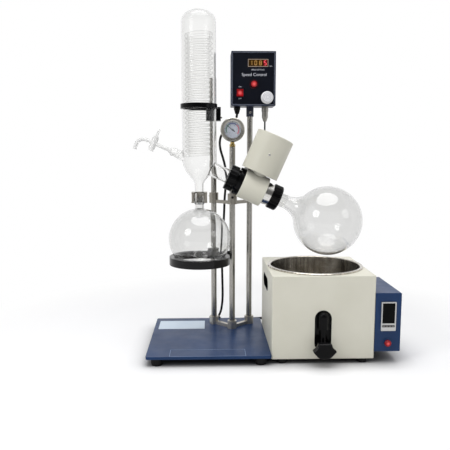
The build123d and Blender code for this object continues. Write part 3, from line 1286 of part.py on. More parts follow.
def mains_plug():
    """Two-pin plug that lies beside the coil."""
    body = Box(PLUG_LENGTH, PLUG_WIDTH, PLUG_HEIGHT, align=UPRIGHT)
    body = fillet(body.edges(), 4)
    nose = PLUG_LENGTH / 2
    for side in (-1, 1):
        pin = Rot(0, 90, 0) * rod(PLUG_PIN_RADIUS, PLUG_PIN_LENGTH)
        body += Pos(nose, side * PLUG_PIN_SPACING / 2, PLUG_HEIGHT / 2) * pin
    body += Pos(-nose, 0, PLUG_HEIGHT / 2) * Rot(0, -90, 0) * rod(CORD_RADIUS, PLUG_TAIL)
    outer_turn = COIL_TURN_RADIUS + CORD_RADIUS
    coil_edge = sqrt((outer_turn + CORD_RADIUS) ** 2 - (outer_turn - PLUG_WIDTH / 2) ** 2)
    plug = Pos(CORD_COIL_X + coil_edge + 1 + nose, CORD_COIL_Y + outer_turn, CORD_CLEAR) * body
    return plug - cord_coil()


POT_X = BATH_MID_X
POT_Y = BATH_MID_Y
GRIP_Y = BATH_MID_Y + GRIP_SETBACK


def recess_outline(inset):
    """Upright slot shape of the front recess, its centre at the origin."""
    return Rot(0, 0, 90) * SlotOverall(RECESS_HEIGHT - 2 * inset, RECESS_WIDTH - 2 * inset)


def grip_outline(inset):
    return SlotOverall(GRIP_LENGTH - 2 * inset, GRIP_HEIGHT - 2 * inset)


def tray(outline, depth):
    """Thin-walled tray sunk below z = 0, open at the top."""
    return extrude(outline(0), -depth) - extrude(outline(LINER_WALL), LINER_WALL - depth)


def on_recess(part):
    return facing_front(TAP_X, BATH_FRONT, RECESS_TOP - RECESS_HEIGHT / 2, part)


def on_grip(part):
    """Put a part made along z on the bath's left side, pointing out of it."""
    return Pos(BATH_LEFT, GRIP_Y, GRIP_Z) * Rot(0, -90, 0) * Rot(0, 0, 90) * part


def bath_case():
    """Folded sheet case with a round top opening, a front recess and a side grip hole."""
    outside = extrude(RectangleRounded(BATH_WIDTH, BATH_DEPTH, BATH_CORNER), BATH_HEIGHT)
    outside = fillet(outside.faces().sort_by(Axis.Z)[-1].edges(), BATH_EDGE)
    inside = extrude(
        RectangleRounded(BATH_WIDTH - 2 * BATH_WALL, BATH_DEPTH - 2 * BATH_WALL, BATH_CORNER - BATH_WALL),
        BATH_HEIGHT - 2 * BATH_WALL,
    )
    case = outside - Pos(0, 0, BATH_WALL) * inside
    case = Pos(BATH_MID_X, BATH_MID_Y, BATH_FOOT_HEIGHT) * case
    case -= Pos(POT_X, POT_Y, BATH_TOP - BATH_WALL) * rod(POT_RADIUS + POT_WALL, BATH_WALL)
    case -= on_recess(extrude(recess_outline(0), -BATH_WALL))
    return case - on_grip(extrude(grip_outline(0), -BATH_WALL))


def bath_pot():
    """Steel pot that hangs by its rim in the case's top opening."""
    outer = POT_RADIUS + POT_WALL
    rim_top = BATH_TOP + RIM_RISE
    floor = rim_top - POT_DEPTH
    pot = turned_points([
        (0, floor - POT_WALL), (outer - POT_CORNER, floor - POT_WALL), (outer, floor - POT_WALL + POT_CORNER),
        (outer, BATH_TOP), (RIM_RADIUS, BATH_TOP), (RIM_RADIUS, rim_top - 1.5), (RIM_RADIUS - 1.5, rim_top),
        (POT_RADIUS + 1.5, rim_top), (POT_RADIUS, rim_top - 1.5), (POT_RADIUS, floor + POT_CORNER),
        (POT_RADIUS - POT_CORNER, floor), (0, floor),
    ])
    return Pos(POT_X, POT_Y, 0) * pot


def bath_heater():
    floor = BATH_TOP + RIM_RISE - POT_DEPTH - POT_WALL
    return Pos(POT_X, POT_Y, floor - HEATER_THICK) * rod(HEATER_RADIUS, HEATER_THICK)


def bath_feet():
    reach_x = BATH_WIDTH / 2 - BATH_FOOT_INSET_X
    reach_y = BATH_DEPTH / 2 - BATH_FOOT_INSET_Y
    bath_foot = foot(BATH_FOOT_RADIUS, BATH_FOOT_HEIGHT)
    return [
        Pos(BATH_MID_X + side * reach_x, BATH_MID_Y + end * reach_y, 0) * bath_foot
        for side in (-1, 1)
        for end in (-1, 1)
    ]


def side_grip():
    """Moulded finger pocket in the bath's left side."""
    return on_grip(tray(grip_outline, GRIP_DEPTH))


def tap_recess():
    """Moulded liner of the front recess."""
    return on_recess(tray(recess_outline, RECESS_DEPTH))


TAP_BACK = BATH_FRONT + RECESS_DEPTH - LINER_WALL
TAP_FRONT = BATH_FRONT - TAP_BODY_REACH


def drain_tap():
    """Drain pipe down the recess, its neck, the valve body in front of the case and an outlet below it."""
    pipe_y = TAP_BACK - TAP_PIPE_RADIUS / 2
    crown = TAP_PIPE_TOP - TAP_PIPE_RADIUS
    tap = Pos(TAP_X, pipe_y, TAP_PIPE_FOOT) * rod(TAP_PIPE_RADIUS, crown - TAP_PIPE_FOOT)
    tap += Pos(TAP_X, pipe_y, crown) * Sphere(TAP_PIPE_RADIUS)
    tap += Pos(TAP_X, pipe_y, TAP_Z) * rod(TAP_NECK_RADIUS, TAP_PIPE_FOOT - TAP_Z)
    behind = Box(4 * TAP_PIPE_RADIUS, 4 * TAP_PIPE_RADIUS, 2 * TAP_PIPE_TOP, align=MID_BEHIND)
    tap -= Pos(TAP_X, TAP_BACK, TAP_PIPE_TOP) * behind
    body_length = pipe_y - TAP_FRONT
    tap += facing_front(TAP_X, pipe_y, TAP_Z, rod(TAP_BODY_RADIUS, body_length))
    spout_y = TAP_FRONT + TAP_SPOUT_RADIUS + 2
    tap += Pos(TAP_X, spout_y, TAP_Z - TAP_SPOUT_DROP) * rod(TAP_SPOUT_RADIUS, TAP_SPOUT_DROP)
    return tap - facing_front(TAP_X, TAP_FRONT + 10, TAP_Z, rod(TAP_STEM_RADIUS + RUNNING, 10))


def tap_handle():
    """Butterfly handle on the valve's stem."""
    half = [
        (HANDLE_RISE * 0.84, HANDLE_RISE), (HANDLE_SPAN * 0.7, HANDLE_RISE * 0.37), (HANDLE_SPAN, 0),
        (HANDLE_SPAN * 0.98, -HANDLE_RISE * 0.16), (HANDLE_RISE * 0.9, -HANDLE_RISE * 0.79),
        (HANDLE_RISE * 0.53, -HANDLE_RISE * 1.05),
    ]
    outline = half + [(-x, z) for x, z in reversed(half)]
    handle = extrude(make_face(Polyline(*outline, close=True)), HANDLE_THICK)
    handle = fillet(handle.edges().filter_by(Axis.Z), HANDLE_EDGE)
    handle = chamfer(handle.faces().sort_by(Axis.Z)[-1].edges(), 2)
    stem = Pos(0, 0, -10) * rod(TAP_STEM_RADIUS, 10)
    return facing_front(TAP_X, TAP_FRONT - LOOSE, TAP_Z, handle + stem)


def on_box(x, z, part, proud=0.0):
    return facing_front(x, BATH_FRONT - proud, z, part)


BOX_MID_Z = BOX_BOTTOM + BOX_HEIGHT / 2


def control_box():
    """Sheet box on the bath's right side, open where the bath's wall closes it."""
    body = Box(BOX_WIDTH, BOX_DEPTH, BOX_HEIGHT)
    body = fillet(body.edges().filter_by(Axis.Y).group_by(Axis.X)[-1], 2)
    room = Box(BOX_WIDTH - BOX_WALL, BOX_DEPTH - 2 * BOX_WALL, BOX_HEIGHT - 2 * BOX_WALL)
    body -= Pos(-BOX_WALL / 2, 0, 0) * room
    box = Pos(BOX_MID_X, BATH_FRONT + BOX_DEPTH / 2, BOX_MID_Z) * body
    module_hole = Box(MODULE_WIDTH - 2 * MODULE_LIP, MODULE_HEIGHT - 2 * MODULE_LIP, 2 * BOX_WALL)
    box -= on_box(BOX_MID_X, MODULE_Z, module_hole, proud=-BOX_WALL)
    box -= on_box(BOX_MID_X, LAMP_Z, rod(LAMP_RADIUS + LOOSE, BOX_WALL), proud=-BOX_WALL)
    box += on_box(BOX_MID_X, LAMP_Z, pipe(LAMP_COLLAR_RADIUS, LAMP_RADIUS + LOOSE, LAMP_COLLAR_PROUD))
    inlet_hole = Box(INLET_WIDTH, 2 * BOX_WALL, INLET_HEIGHT)
    return box - Pos(BOX_MID_X, BATH_FRONT + BOX_DEPTH, BOX_MID_Z) * inlet_hole


def temperature_module():
    bezel = Box(MODULE_WIDTH, MODULE_HEIGHT, MODULE_PROUD, align=UPRIGHT)
    bezel = fillet(bezel.edges().filter_by(Axis.Z), 1.5)
    window_size = (MODULE_WIDTH - 2 * MODULE_RIM, MODULE_HEIGHT - MODULE_KEY_ROW)
    window = Box(*window_size, MODULE_WINDOW, align=UPRIGHT)
    bezel -= Pos(0, MODULE_KEY_ROW / 2 - MODULE_RIM, MODULE_PROUD - MODULE_WINDOW) * window
    inner = Box(
        MODULE_WIDTH - 2 * MODULE_LIP, MODULE_HEIGHT - 2 * MODULE_LIP, MODULE_LENGTH,
        align=(Align.CENTER, Align.CENTER, Align.MAX),
    )
    return on_box(BOX_MID_X, MODULE_Z, bezel + inner)


def bath_button():
    crown = LAMP_PROUD + LAMP_TRAVEL
    cap = turned_points([
        (0, -BOX_WALL), (LAMP_RADIUS, -BOX_WALL), (LAMP_RADIUS, crown - 1.5),
        (LAMP_RADIUS - 1.5, crown), (0, crown),
    ])
    return on_box(BOX_MID_X, LAMP_Z, cap)


def power_inlet():
    """Mains socket in the back of the control box."""
    back = BATH_FRONT + BOX_DEPTH
    body = Box(INLET_WIDTH, INLET_DEPTH, INLET_HEIGHT, align=MID_BEFORE)
    lip = Box(INLET_WIDTH + 2 * INLET_LIP, 2, INLET_HEIGHT + INLET_LIP, align=MID_BEHIND)
    pocket = Box(INLET_WIDTH - 4, INLET_POCKET, INLET_HEIGHT - 4, align=MID_BEFORE)
    return Pos(BOX_MID_X, back, BOX_MID_Z) * (body + lip - Pos(0, 2, 0) * pocket)


PIECES = {
    "base_plate": base_plate,
    "base_feet": base_feet,
    "front_pole": lambda: pole(POLE_PLACES[0], FRONT_POLE_TOP),
    "left_pole": lambda: pole(POLE_PLACES[1], LEFT_POLE_TOP),
    "right_pole": lambda: pole(POLE_PLACES[2], CASE_BOTTOM),
    "base_bracket": lambda: chevron(PLATE_TOP, BASE_COLLAR_HEIGHT, BASE_SCREWS),
    "tie_bracket": lambda: chevron(TIE_LEVEL, TIE_COLLAR_HEIGHT, TIE_SCREWS),
    "clamp_screws": clamp_screws,
    "head_carrier": head_carrier,
    "gear_housing": gear_housing,
    "spindle_bearings": spindle_bearings,
    "spindle_seal": spindle_seal,
    "seal_flange": seal_flange,
    "condenser_nut": condenser_nut,
    "motor": motor,
    "motor_cover": motor_cover,
    "drive_pinion": drive_pinion,
    "crown_gear": crown_gear,
    "spindle": spindle,
    "flask_hub": flask_hub,
    "flask_nut": flask_nut,
    "evaporating_flask": evaporating_flask,
    "vapour_tube": vapour_tube,
    "condenser_jacket": condenser_jacket,
    "condenser_coil": condenser_coil,
    "condenser_clamp": condenser_clamp,
    "feed_tube": feed_tube,
    "stopcock_key": stopcock_key,
    "joint_clip": joint_clip,
    "receiving_flask": receiving_flask,
    "receiver_ring": receiver_ring,
    "ring_screw": ring_screw,
    "gauge_case": gauge_case,
    "gauge_dial": gauge_dial,
    "gauge_lens": gauge_lens,
    "gauge_needle": gauge_needle,
    "gauge_fitting": gauge_fitting,
    "controller_case": controller_case,
    "controller_panel": controller_panel,
    "speed_knob": speed_knob,
    "rocker_switch": rocker_switch,
    "start_button": start_button,
    "cord_gland": cord_gland,
    "motor_connector": motor_connector,
    "motor_lead": motor_lead,
    "mains_cord": mains_cord,
    "cord_coil": cord_coil,
    "mains_plug": mains_plug,
    "bath_case": bath_case,
    "bath_pot": bath_pot,
    "bath_heater": bath_heater,
    "bath_feet": bath_feet,
    "side_grip": side_grip,
    "tap_recess": tap_recess,
    "drain_tap": drain_tap,
    "tap_handle": tap_handle,
    "control_box": control_box,
    "temperature_module": temperature_module,
    "bath_button": bath_button,
    "power_inlet": power_inlet,
}

os.makedirs("parts", exist_ok=True)
for name, make in PIECES.items():
    made = make()
    piece = Compound(children=made) if isinstance(made, list) else made
    export_step(piece, f"parts/{name}.step")
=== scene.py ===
# %% [markdown]
# # Dressing a rotary evaporator
#
# A rotary evaporator boils solvent out of a turning flask under vacuum and collects it below a tall glass
# condenser. The CAD model already holds every hard piece in its true place, so this script only adds what
# CAD leaves out: finishes, the smooth glass coil, the dial's print, lit digits, the mains cord, and a studio.
# We load the CAD frame first. Nothing added later may stand outside it.

# %% Load the CAD frame
import math
import bmesh
import bpy
from mathutils import Matrix, Vector


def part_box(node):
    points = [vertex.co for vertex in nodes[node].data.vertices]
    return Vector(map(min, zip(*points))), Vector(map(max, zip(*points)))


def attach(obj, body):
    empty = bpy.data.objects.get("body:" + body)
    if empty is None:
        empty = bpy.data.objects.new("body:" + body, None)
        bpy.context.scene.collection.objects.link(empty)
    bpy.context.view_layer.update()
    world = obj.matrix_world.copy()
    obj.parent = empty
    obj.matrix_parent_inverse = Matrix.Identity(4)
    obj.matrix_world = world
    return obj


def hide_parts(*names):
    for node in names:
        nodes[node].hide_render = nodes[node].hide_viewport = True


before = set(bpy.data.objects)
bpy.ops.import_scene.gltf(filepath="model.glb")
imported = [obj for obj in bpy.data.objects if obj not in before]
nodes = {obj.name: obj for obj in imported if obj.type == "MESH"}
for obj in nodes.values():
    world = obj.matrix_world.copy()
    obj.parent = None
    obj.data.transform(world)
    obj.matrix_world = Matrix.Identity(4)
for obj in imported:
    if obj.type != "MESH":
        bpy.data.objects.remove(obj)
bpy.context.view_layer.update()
scene = bpy.context.scene
MM = 0.001

# %% [markdown]
# ## The camera
#
# The photograph was taken from the height of the drive head, a little left of the middle. A camera's place
# could be guessed by eye, but here it was worked out from the corners of the base plate, so it is given from
# the plate's front left corner: if the model moves, the view moves with it.

# %% Camera
CAMERA_FROM_CORNER = Vector((0.15871, -1.28638, 0.51255))
CAMERA_RIGHT = math.radians(1.61)
CAMERA_DOWN = math.radians(7.21)
CAMERA_LENS = 43.68
plate_low, plate_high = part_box("base_plate")
corner = Vector((plate_low.x, plate_low.y, 0))
camera_data = bpy.data.cameras.new("camera")
camera_data.lens = CAMERA_LENS
camera = bpy.data.objects.new("camera", camera_data)
scene.collection.objects.link(camera)
aim = Matrix.Rotation(-CAMERA_RIGHT, 4, "Z") @ Matrix.Rotation(math.radians(90) - CAMERA_DOWN, 4, "X")
camera.matrix_world = Matrix.Translation(corner + CAMERA_FROM_CORNER) @ aim
scene.camera = camera
print("camera at", [round(value, 3) for value in camera.location])

# %% [markdown]
# ## Wiring nodes
#
# The studio and every finish are graphs of nodes: a node is added, its sockets are set, and outputs are wired
# to inputs. Blender's own calls for that are long, so three small helpers stand for them.

# %% Node helpers


def add(tree, kind, **settings):
    """New node with its settings."""
    node = tree.nodes.new(kind)
    for label, value in settings.items():
        setattr(node, label, value)
    return node


def put(node, **values):
    """Set input sockets by their names, with _ for a space."""
    for label, value in values.items():
        node.inputs[label.replace("_", " ")].default_value = value


def wire(tree, source, output, target, entry):
    """Lead an output of one node to an input of another."""
    tree.links.new(source.outputs[output], target.inputs[entry])


print("node helpers ready")

# %% [markdown]
# ## The studio
#
# The photograph is a white product shot with one soft shadow under the object. The white world is what the
# camera sees, what shows through the glass and what polished pieces mirror, while a dimmer one lights the
# surfaces, so that colours don't wash out. Behind a camera a studio is dim, and that is what gives polished
# metal and black plastic their dark sides, so reflections fade to grey on that side. The floor is pale where
# the shadow falls, its colour is darkened with painted shade in the narrow gaps under the pieces, and it
# fades to pure white further away, which hides its edge.

# %% World
ROOM_GREY = 0.16
FILL_LIGHT = 0.45
DIM_FROM, DIM_TO = -0.85, -0.1
world = bpy.data.worlds.new("studio")
world.use_nodes = True
scene.world = world
tree = world.node_tree
background = tree.nodes["Background"]
put(background, Color=(1, 1, 1, 1))
light_path = add(tree, "ShaderNodeLightPath")
seen = add(tree, "ShaderNodeMath", operation="MAXIMUM")
wire(tree, light_path, "Is Camera Ray", seen, 0)
wire(tree, light_path, "Is Transmission Ray", seen, 1)
direction = add(tree, "ShaderNodeTexCoord")
parts = add(tree, "ShaderNodeSeparateXYZ")
wire(tree, direction, "Generated", parts, "Vector")
room = add(tree, "ShaderNodeMapRange", interpolation_type="SMOOTHSTEP")
put(room, From_Min=DIM_FROM, From_Max=DIM_TO, To_Min=ROOM_GREY, To_Max=1.0)
wire(tree, parts, "Y", room, "Value")
mirrored = add(tree, "ShaderNodeMix")
put(mirrored, A=FILL_LIGHT)
wire(tree, light_path, "Is Glossy Ray", mirrored, "Factor")
wire(tree, room, "Result", mirrored, "B")
level = add(tree, "ShaderNodeMath", operation="MAXIMUM")
wire(tree, seen, "Value", level, 0)
wire(tree, mirrored, "Result", level, 1)
wire(tree, level, "Value", background, "Strength")
scene.view_settings.view_transform = "Standard"
print("white world, fill light", FILL_LIGHT)

# %% Floor
FLOOR_SIZE = 12.0
floor_mesh = bpy.data.meshes.new("floor")
half = FLOOR_SIZE / 2
floor_corners = [(-half, -half, 0), (half, -half, 0), (half, half, 0), (-half, half, 0)]
floor_mesh.from_pydata(floor_corners, [], [(0, 1, 2, 3)])
floor = bpy.data.objects.new("floor", floor_mesh)
scene.collection.objects.link(floor)
print("floor of", FLOOR_SIZE, "m")

# %% Floor finish
FADE_START, FADE_END = 0.55, 0.95
PAINTED_SHADE_REACH = 0.06
floor_finish = bpy.data.materials.new("floor")
floor_finish.use_nodes = True
floor.data.materials.append(floor_finish)
tree = floor_finish.node_tree
shade = tree.nodes["Principled BSDF"]
# Ambient occlusion darkens the floor's colour in the narrow gaps under the pieces: painted shade.
painted_shade_ao = add(tree, "ShaderNodeAmbientOcclusion")
put(painted_shade_ao, Distance=PAINTED_SHADE_REACH)
shade_mix = add(tree, "ShaderNodeMix", data_type="RGBA")
put(shade_mix, A=(0.03, 0.03, 0.035, 1), B=(0.9, 0.9, 0.91, 1))
wire(tree, painted_shade_ao, "AO", shade_mix, "Factor")
wire(tree, shade_mix, "Result", shade, "Base Color")
put(shade, Roughness=0.9, Specular_IOR_Level=0.1)
glow = add(tree, "ShaderNodeEmission")
put(glow, Color=(1, 1, 1, 1))
place = add(tree, "ShaderNodeTexCoord")
distance = add(tree, "ShaderNodeVectorMath", operation="LENGTH")
fade = add(tree, "ShaderNodeMapRange", interpolation_type="SMOOTHSTEP")
put(fade, From_Min=FADE_START, From_Max=FADE_END)
blend = add(tree, "ShaderNodeMixShader")
wire(tree, place, "Object", distance, 0)
wire(tree, distance, "Value", fade, "Value")
wire(tree, fade, "Result", blend, "Fac")
wire(tree, shade, "BSDF", blend, 1)
wire(tree, glow, "Emission", blend, 2)
wire(tree, blend, "Shader", tree.nodes["Material Output"], "Surface")
print("floor fades to white from", FADE_START, "to", FADE_END, "m")

# %% Lamps
LAMPS = {
    "overhead": ((0.0, -0.2, 2.4), (0, 0, 0.2), 2.2, 40),
    "left_front": ((-1.9, -1.5, 1.6), (0, 0, 0.4), 1.2, 17),
    "right_front": ((1.8, -1.2, 1.2), (0, 0, 0.4), 1.0, 4),
}
for name, (spot, target, size, power) in LAMPS.items():
    lamp_data = bpy.data.lights.new(name, "AREA")
    lamp_data.shape = "DISK"
    lamp_data.size = size
    lamp_data.energy = power
    lamp = bpy.data.objects.new(name, lamp_data)
    lamp.location = spot
    lamp.rotation_euler = (Vector(target) - Vector(spot)).to_track_quat("-Z", "Y").to_euler()
    scene.collection.objects.link(lamp)
print(len(LAMPS), "soft lamps")

# %% [markdown]
# ## Shared surface effects
#
# Real surfaces are never one flat value: paint drifts in tone and has a faint orange peel, steel carries fine
# lines from the brush, plastic is dulled where it is touched, and edges are lighter, partly rubbed and partly
# a painted highlight. Each such effect is used by several finishes, so it becomes a node group with named
# inputs, like a small tool of its own.

# %% Helpers for node groups


def srgb(red, green, blue):
    """Screen colour from 0 to 255 as the linear colour that shader sockets take."""
    return tuple(((value / 255 + 0.055) / 1.055) ** 2.4 for value in (red, green, blue)) + (1.0,)


def new_group(name, inputs, outputs):
    """Empty node group with named sockets; returns the group and its two end nodes."""
    group = bpy.data.node_groups.new(name, "ShaderNodeTree")
    for label, kind, start in inputs:
        group.interface.new_socket(label, in_out="INPUT", socket_type=kind).default_value = start
    for label, kind in outputs:
        group.interface.new_socket(label, in_out="OUTPUT", socket_type=kind)
    return group, group.nodes.new("NodeGroupInput"), group.nodes.new("NodeGroupOutput")


def noise_on_object(tree, detail):
    """Noise texture that sticks to the piece, because it uses the piece's own coordinates."""
    coordinates = add(tree, "ShaderNodeTexCoord")
    noise = add(tree, "ShaderNodeTexNoise")
    put(noise, Detail=detail)
    wire(tree, coordinates, "Object", noise, "Vector")
    return noise


FLOAT, COLOUR, VECTOR = "NodeSocketFloat", "NodeSocketColor", "NodeSocketVector"
print("group helpers ready")

# %% Colour drift
drift, ends_in, ends_out = new_group(
    "colour_drift",
    [("Light", COLOUR, (1, 1, 1, 1)), ("Dark", COLOUR, (0, 0, 0, 1)), ("Scale", FLOAT, 8.0)],
    [("Colour", COLOUR)],
)
noise = noise_on_object(drift, 5.0)
spread = add(drift, "ShaderNodeMapRange")
put(spread, From_Min=0.3, From_Max=0.7)
mix = add(drift, "ShaderNodeMix", data_type="RGBA")
wire(drift, ends_in, "Scale", noise, "Scale")
wire(drift, noise, "Fac", spread, "Value")
wire(drift, spread, "Result", mix, "Factor")
wire(drift, ends_in, "Light", mix, "A")
wire(drift, ends_in, "Dark", mix, "B")
wire(drift, mix, "Result", ends_out, "Colour")
print("group", drift.name)

# %% Uneven gloss
gloss, ends_in, ends_out = new_group(
    "uneven_gloss",
    [("Low", FLOAT, 0.3), ("High", FLOAT, 0.5), ("Scale", FLOAT, 30.0)],
    [("Roughness", FLOAT)],
)
noise = noise_on_object(gloss, 6.0)
spread = add(gloss, "ShaderNodeMapRange")
put(spread, From_Min=0.35, From_Max=0.65)
wire(gloss, ends_in, "Scale", noise, "Scale")
wire(gloss, noise, "Fac", spread, "Value")
wire(gloss, ends_in, "Low", spread, "To Min")
wire(gloss, ends_in, "High", spread, "To Max")
wire(gloss, spread, "Result", ends_out, "Roughness")
print("group", gloss.name)

# %% Fine skin: orange peel, moulding grain or casting texture
skin, ends_in, ends_out = new_group(
    "fine_skin",
    [("Coarse Scale", FLOAT, 300.0), ("Fine Scale", FLOAT, 1500.0), ("Fine Share", FLOAT, 0.3)],
    [("Height", FLOAT)],
)
coarse = noise_on_object(skin, 2.0)
fine = noise_on_object(skin, 3.0)
mix = add(skin, "ShaderNodeMix", data_type="FLOAT")
wire(skin, ends_in, "Coarse Scale", coarse, "Scale")
wire(skin, ends_in, "Fine Scale", fine, "Scale")
wire(skin, ends_in, "Fine Share", mix, "Factor")
wire(skin, coarse, "Fac", mix, "A")
wire(skin, fine, "Fac", mix, "B")
wire(skin, mix, "Result", ends_out, "Height")
print("group", skin.name)

# %% Brushed lines: noise stretched along one way
brushed, ends_in, ends_out = new_group(
    "brushed_lines",
    [
        ("Stretch", VECTOR, (900.0, 900.0, 12.0)),
        ("Light", COLOUR, (0.7, 0.7, 0.7, 1)),
        ("Dark", COLOUR, (0.4, 0.4, 0.4, 1)),
    ],
    [("Colour", COLOUR), ("Height", FLOAT)],
)
coordinates = add(brushed, "ShaderNodeTexCoord")
scaled = add(brushed, "ShaderNodeVectorMath", operation="MULTIPLY")
noise = add(brushed, "ShaderNodeTexNoise")
put(noise, Scale=1.0, Detail=4.0)
spread = add(brushed, "ShaderNodeMapRange")
put(spread, From_Min=0.3, From_Max=0.7)
mix = add(brushed, "ShaderNodeMix", data_type="RGBA")
wire(brushed, coordinates, "Object", scaled, 0)
wire(brushed, ends_in, "Stretch", scaled, 1)
wire(brushed, scaled, "Vector", noise, "Vector")
wire(brushed, noise, "Fac", spread, "Value")
wire(brushed, spread, "Result", mix, "Factor")
wire(brushed, ends_in, "Light", mix, "A")
wire(brushed, ends_in, "Dark", mix, "B")
wire(brushed, mix, "Result", ends_out, "Colour")
wire(brushed, noise, "Fac", ends_out, "Height")
print("group", brushed.name)

# %% Rubbed edges and painted edge highlights: where a rounded normal differs from the true one
edge_wear_and_highlight, ends_in, ends_out = new_group(
    "edge_wear_and_painted_highlight",
    [("Width", FLOAT, 0.001), ("Colour", COLOUR, (0.5, 0.5, 0.5, 1)), ("Edge", COLOUR, (0.8, 0.8, 0.8, 1))],
    [("Colour", COLOUR)],
)
rounded = add(edge_wear_and_highlight, "ShaderNodeBevel", samples=4)
geometry = add(edge_wear_and_highlight, "ShaderNodeNewGeometry")
likeness = add(edge_wear_and_highlight, "ShaderNodeVectorMath", operation="DOT_PRODUCT")
bend = add(edge_wear_and_highlight, "ShaderNodeMapRange")
put(bend, From_Min=0.99, From_Max=0.8)
noise = noise_on_object(edge_wear_and_highlight, 4.0)
put(noise, Scale=60.0)
patchy = add(edge_wear_and_highlight, "ShaderNodeMath", operation="MULTIPLY")
mix = add(edge_wear_and_highlight, "ShaderNodeMix", data_type="RGBA")
wire(edge_wear_and_highlight, ends_in, "Width", rounded, "Radius")
wire(edge_wear_and_highlight, rounded, "Normal", likeness, 0)
wire(edge_wear_and_highlight, geometry, "Normal", likeness, 1)
wire(edge_wear_and_highlight, likeness, "Value", bend, "Value")
wire(edge_wear_and_highlight, bend, "Result", patchy, 0)
wire(edge_wear_and_highlight, noise, "Fac", patchy, 1)
wire(edge_wear_and_highlight, patchy, "Value", mix, "Factor")
wire(edge_wear_and_highlight, ends_in, "Colour", mix, "A")
wire(edge_wear_and_highlight, ends_in, "Edge", mix, "B")
wire(edge_wear_and_highlight, mix, "Result", ends_out, "Colour")
print("group", edge_wear_and_highlight.name)

# %% [markdown]
# ## Finishes
#
# Every finish is one Principled shader fed by the groups above. The functions below only wire a recipe: a
# coated surface for paint and moulded plastic, and bare metal with its brushed lines. Colours are given in
# screen values, which were tuned against the photograph, and srgb turns them into what a shader takes.

# %% Recipes
# Width of the lighter edge band, which is partly rubbed wear and partly a painted highlight.
EDGE_WEAR_AND_HIGHLIGHT = 0.0012


def start_material(name):
    """Material with its tree and Principled shader."""
    made = bpy.data.materials.new(name)
    made.use_nodes = True
    return made, made.node_tree, made.node_tree.nodes["Principled BSDF"]


def use_group(tree, group, **values):
    """Put a node group in a material, with its inputs set by their names."""
    node = add(tree, "ShaderNodeGroup", node_tree=group)
    put(node, **values)
    return node


def bump_from(tree, source, shader, strength, depth):
    """Feed a node's height into the shader's normal."""
    bump = add(tree, "ShaderNodeBump")
    put(bump, Strength=strength, Distance=depth)
    wire(tree, source, "Height", bump, "Height")
    wire(tree, bump, "Normal", shader, "Normal")


def coated(name, light, dark, edge, low, high, drift_scale=9.0, bump=0.06, mirror=0.5):
    """Paint or moulded plastic: drifting colour, edges lighter as rubbed wear and painted highlight, uneven
    gloss and a fine skin.
    """
    made, tree, shader = start_material(name)
    colour = use_group(tree, drift, Light=srgb(*light), Dark=srgb(*dark), Scale=drift_scale)
    worn_and_highlit = use_group(tree, edge_wear_and_highlight, Width=EDGE_WEAR_AND_HIGHLIGHT, Edge=srgb(*edge))
    dull = use_group(tree, gloss, Low=low, High=high, Scale=26.0)
    texture = use_group(tree, skin, Coarse_Scale=260.0, Fine_Scale=1400.0, Fine_Share=0.3)
    wire(tree, colour, "Colour", worn_and_highlit, "Colour")
    wire(tree, worn_and_highlit, "Colour", shader, "Base Color")
    wire(tree, dull, "Roughness", shader, "Roughness")
    bump_from(tree, texture, shader, bump, 0.0006)
    put(shader, Specular_IOR_Level=mirror)
    return made


def metal(name, light, dark, stretch, low, high, bump=0.08):
    """Bare metal with brushed or machined lines."""
    made, tree, shader = start_material(name)
    lines = use_group(tree, brushed, Stretch=stretch, Light=srgb(*light), Dark=srgb(*dark))
    dull = use_group(tree, gloss, Low=low, High=high, Scale=40.0)
    wire(tree, lines, "Colour", shader, "Base Color")
    wire(tree, dull, "Roughness", shader, "Roughness")
    bump_from(tree, lines, shader, bump, 0.0003)
    put(shader, Metallic=1.0)
    return made


print("recipes ready")

# %% Paints
blue_paint = coated(
    "blue_paint", (24, 54, 96), (19, 46, 84), (56, 88, 132), 0.3, 0.4, bump=0.015, mirror=0.22,
)
cream_paint = coated(
    "cream_paint", (212, 210, 197), (206, 204, 190), (222, 220, 210), 0.4, 0.52, bump=0.03, mirror=0.35,
)
can_paint = coated(
    "can_paint", (199, 197, 184), (193, 191, 177), (210, 208, 198), 0.4, 0.52, bump=0.03, mirror=0.35,
)
dark_navy = coated("dark_navy", (34, 42, 62), (27, 33, 50), (104, 112, 132), 0.35, 0.5, mirror=0.3)
panel_film = coated(
    "panel_film", (14, 17, 27), (10, 13, 21), (30, 36, 50), 0.42, 0.55, bump=0.02, mirror=0.08,
)
print("five paints")

# %% Plastics and rubber
# The lighter edge colours of the black pieces below are painted edge highlights.
gloss_black = coated(
    "gloss_black", (9, 9, 10), (5, 5, 6), (20, 20, 22), 0.12, 0.22, 30.0, 0.02, mirror=0.1,
)
# The tap handle's pale edge colour is a painted highlight along its edges.
black_with_painted_edge_highlight = coated(
    "black_with_painted_edge_highlight", (9, 9, 10), (5, 5, 6), (120, 120, 124), 0.1, 0.2, 30.0, 0.02, mirror=0.1,
)
satin_black = coated("satin_black", (24, 24, 26), (17, 17, 19), (58, 58, 62), 0.34, 0.48, 30.0)
ring_black = coated(
    "ring_black", (13, 13, 14), (8, 8, 9), (60, 60, 64), 0.14, 0.26, 30.0, 0.05, mirror=0.24,
)
black_rubber = coated(
    "black_rubber", (20, 20, 21), (13, 13, 14), (34, 34, 36), 0.6, 0.8, 40.0, 0.12, mirror=0.2,
)
cord_rubber = coated(
    "cord_rubber", (20, 20, 23), (14, 14, 17), (30, 30, 34), 0.42, 0.55, 60.0, mirror=0.2,
)
white_plastic = coated(
    "white_plastic", (222, 222, 225), (210, 211, 215), (232, 232, 232), 0.3, 0.42, 40.0,
)
pale_print = coated("pale_print", (186, 192, 204), (176, 182, 196), (200, 204, 212), 0.35, 0.5, 12.0)
seal_plastic = coated("seal_plastic", (226, 226, 222), (214, 214, 208), (236, 236, 232), 0.4, 0.5, 40.0)
label_foil = coated("label_foil", (200, 214, 228), (190, 205, 221), (214, 224, 234), 0.35, 0.5, 20.0)
print("ten plastics")

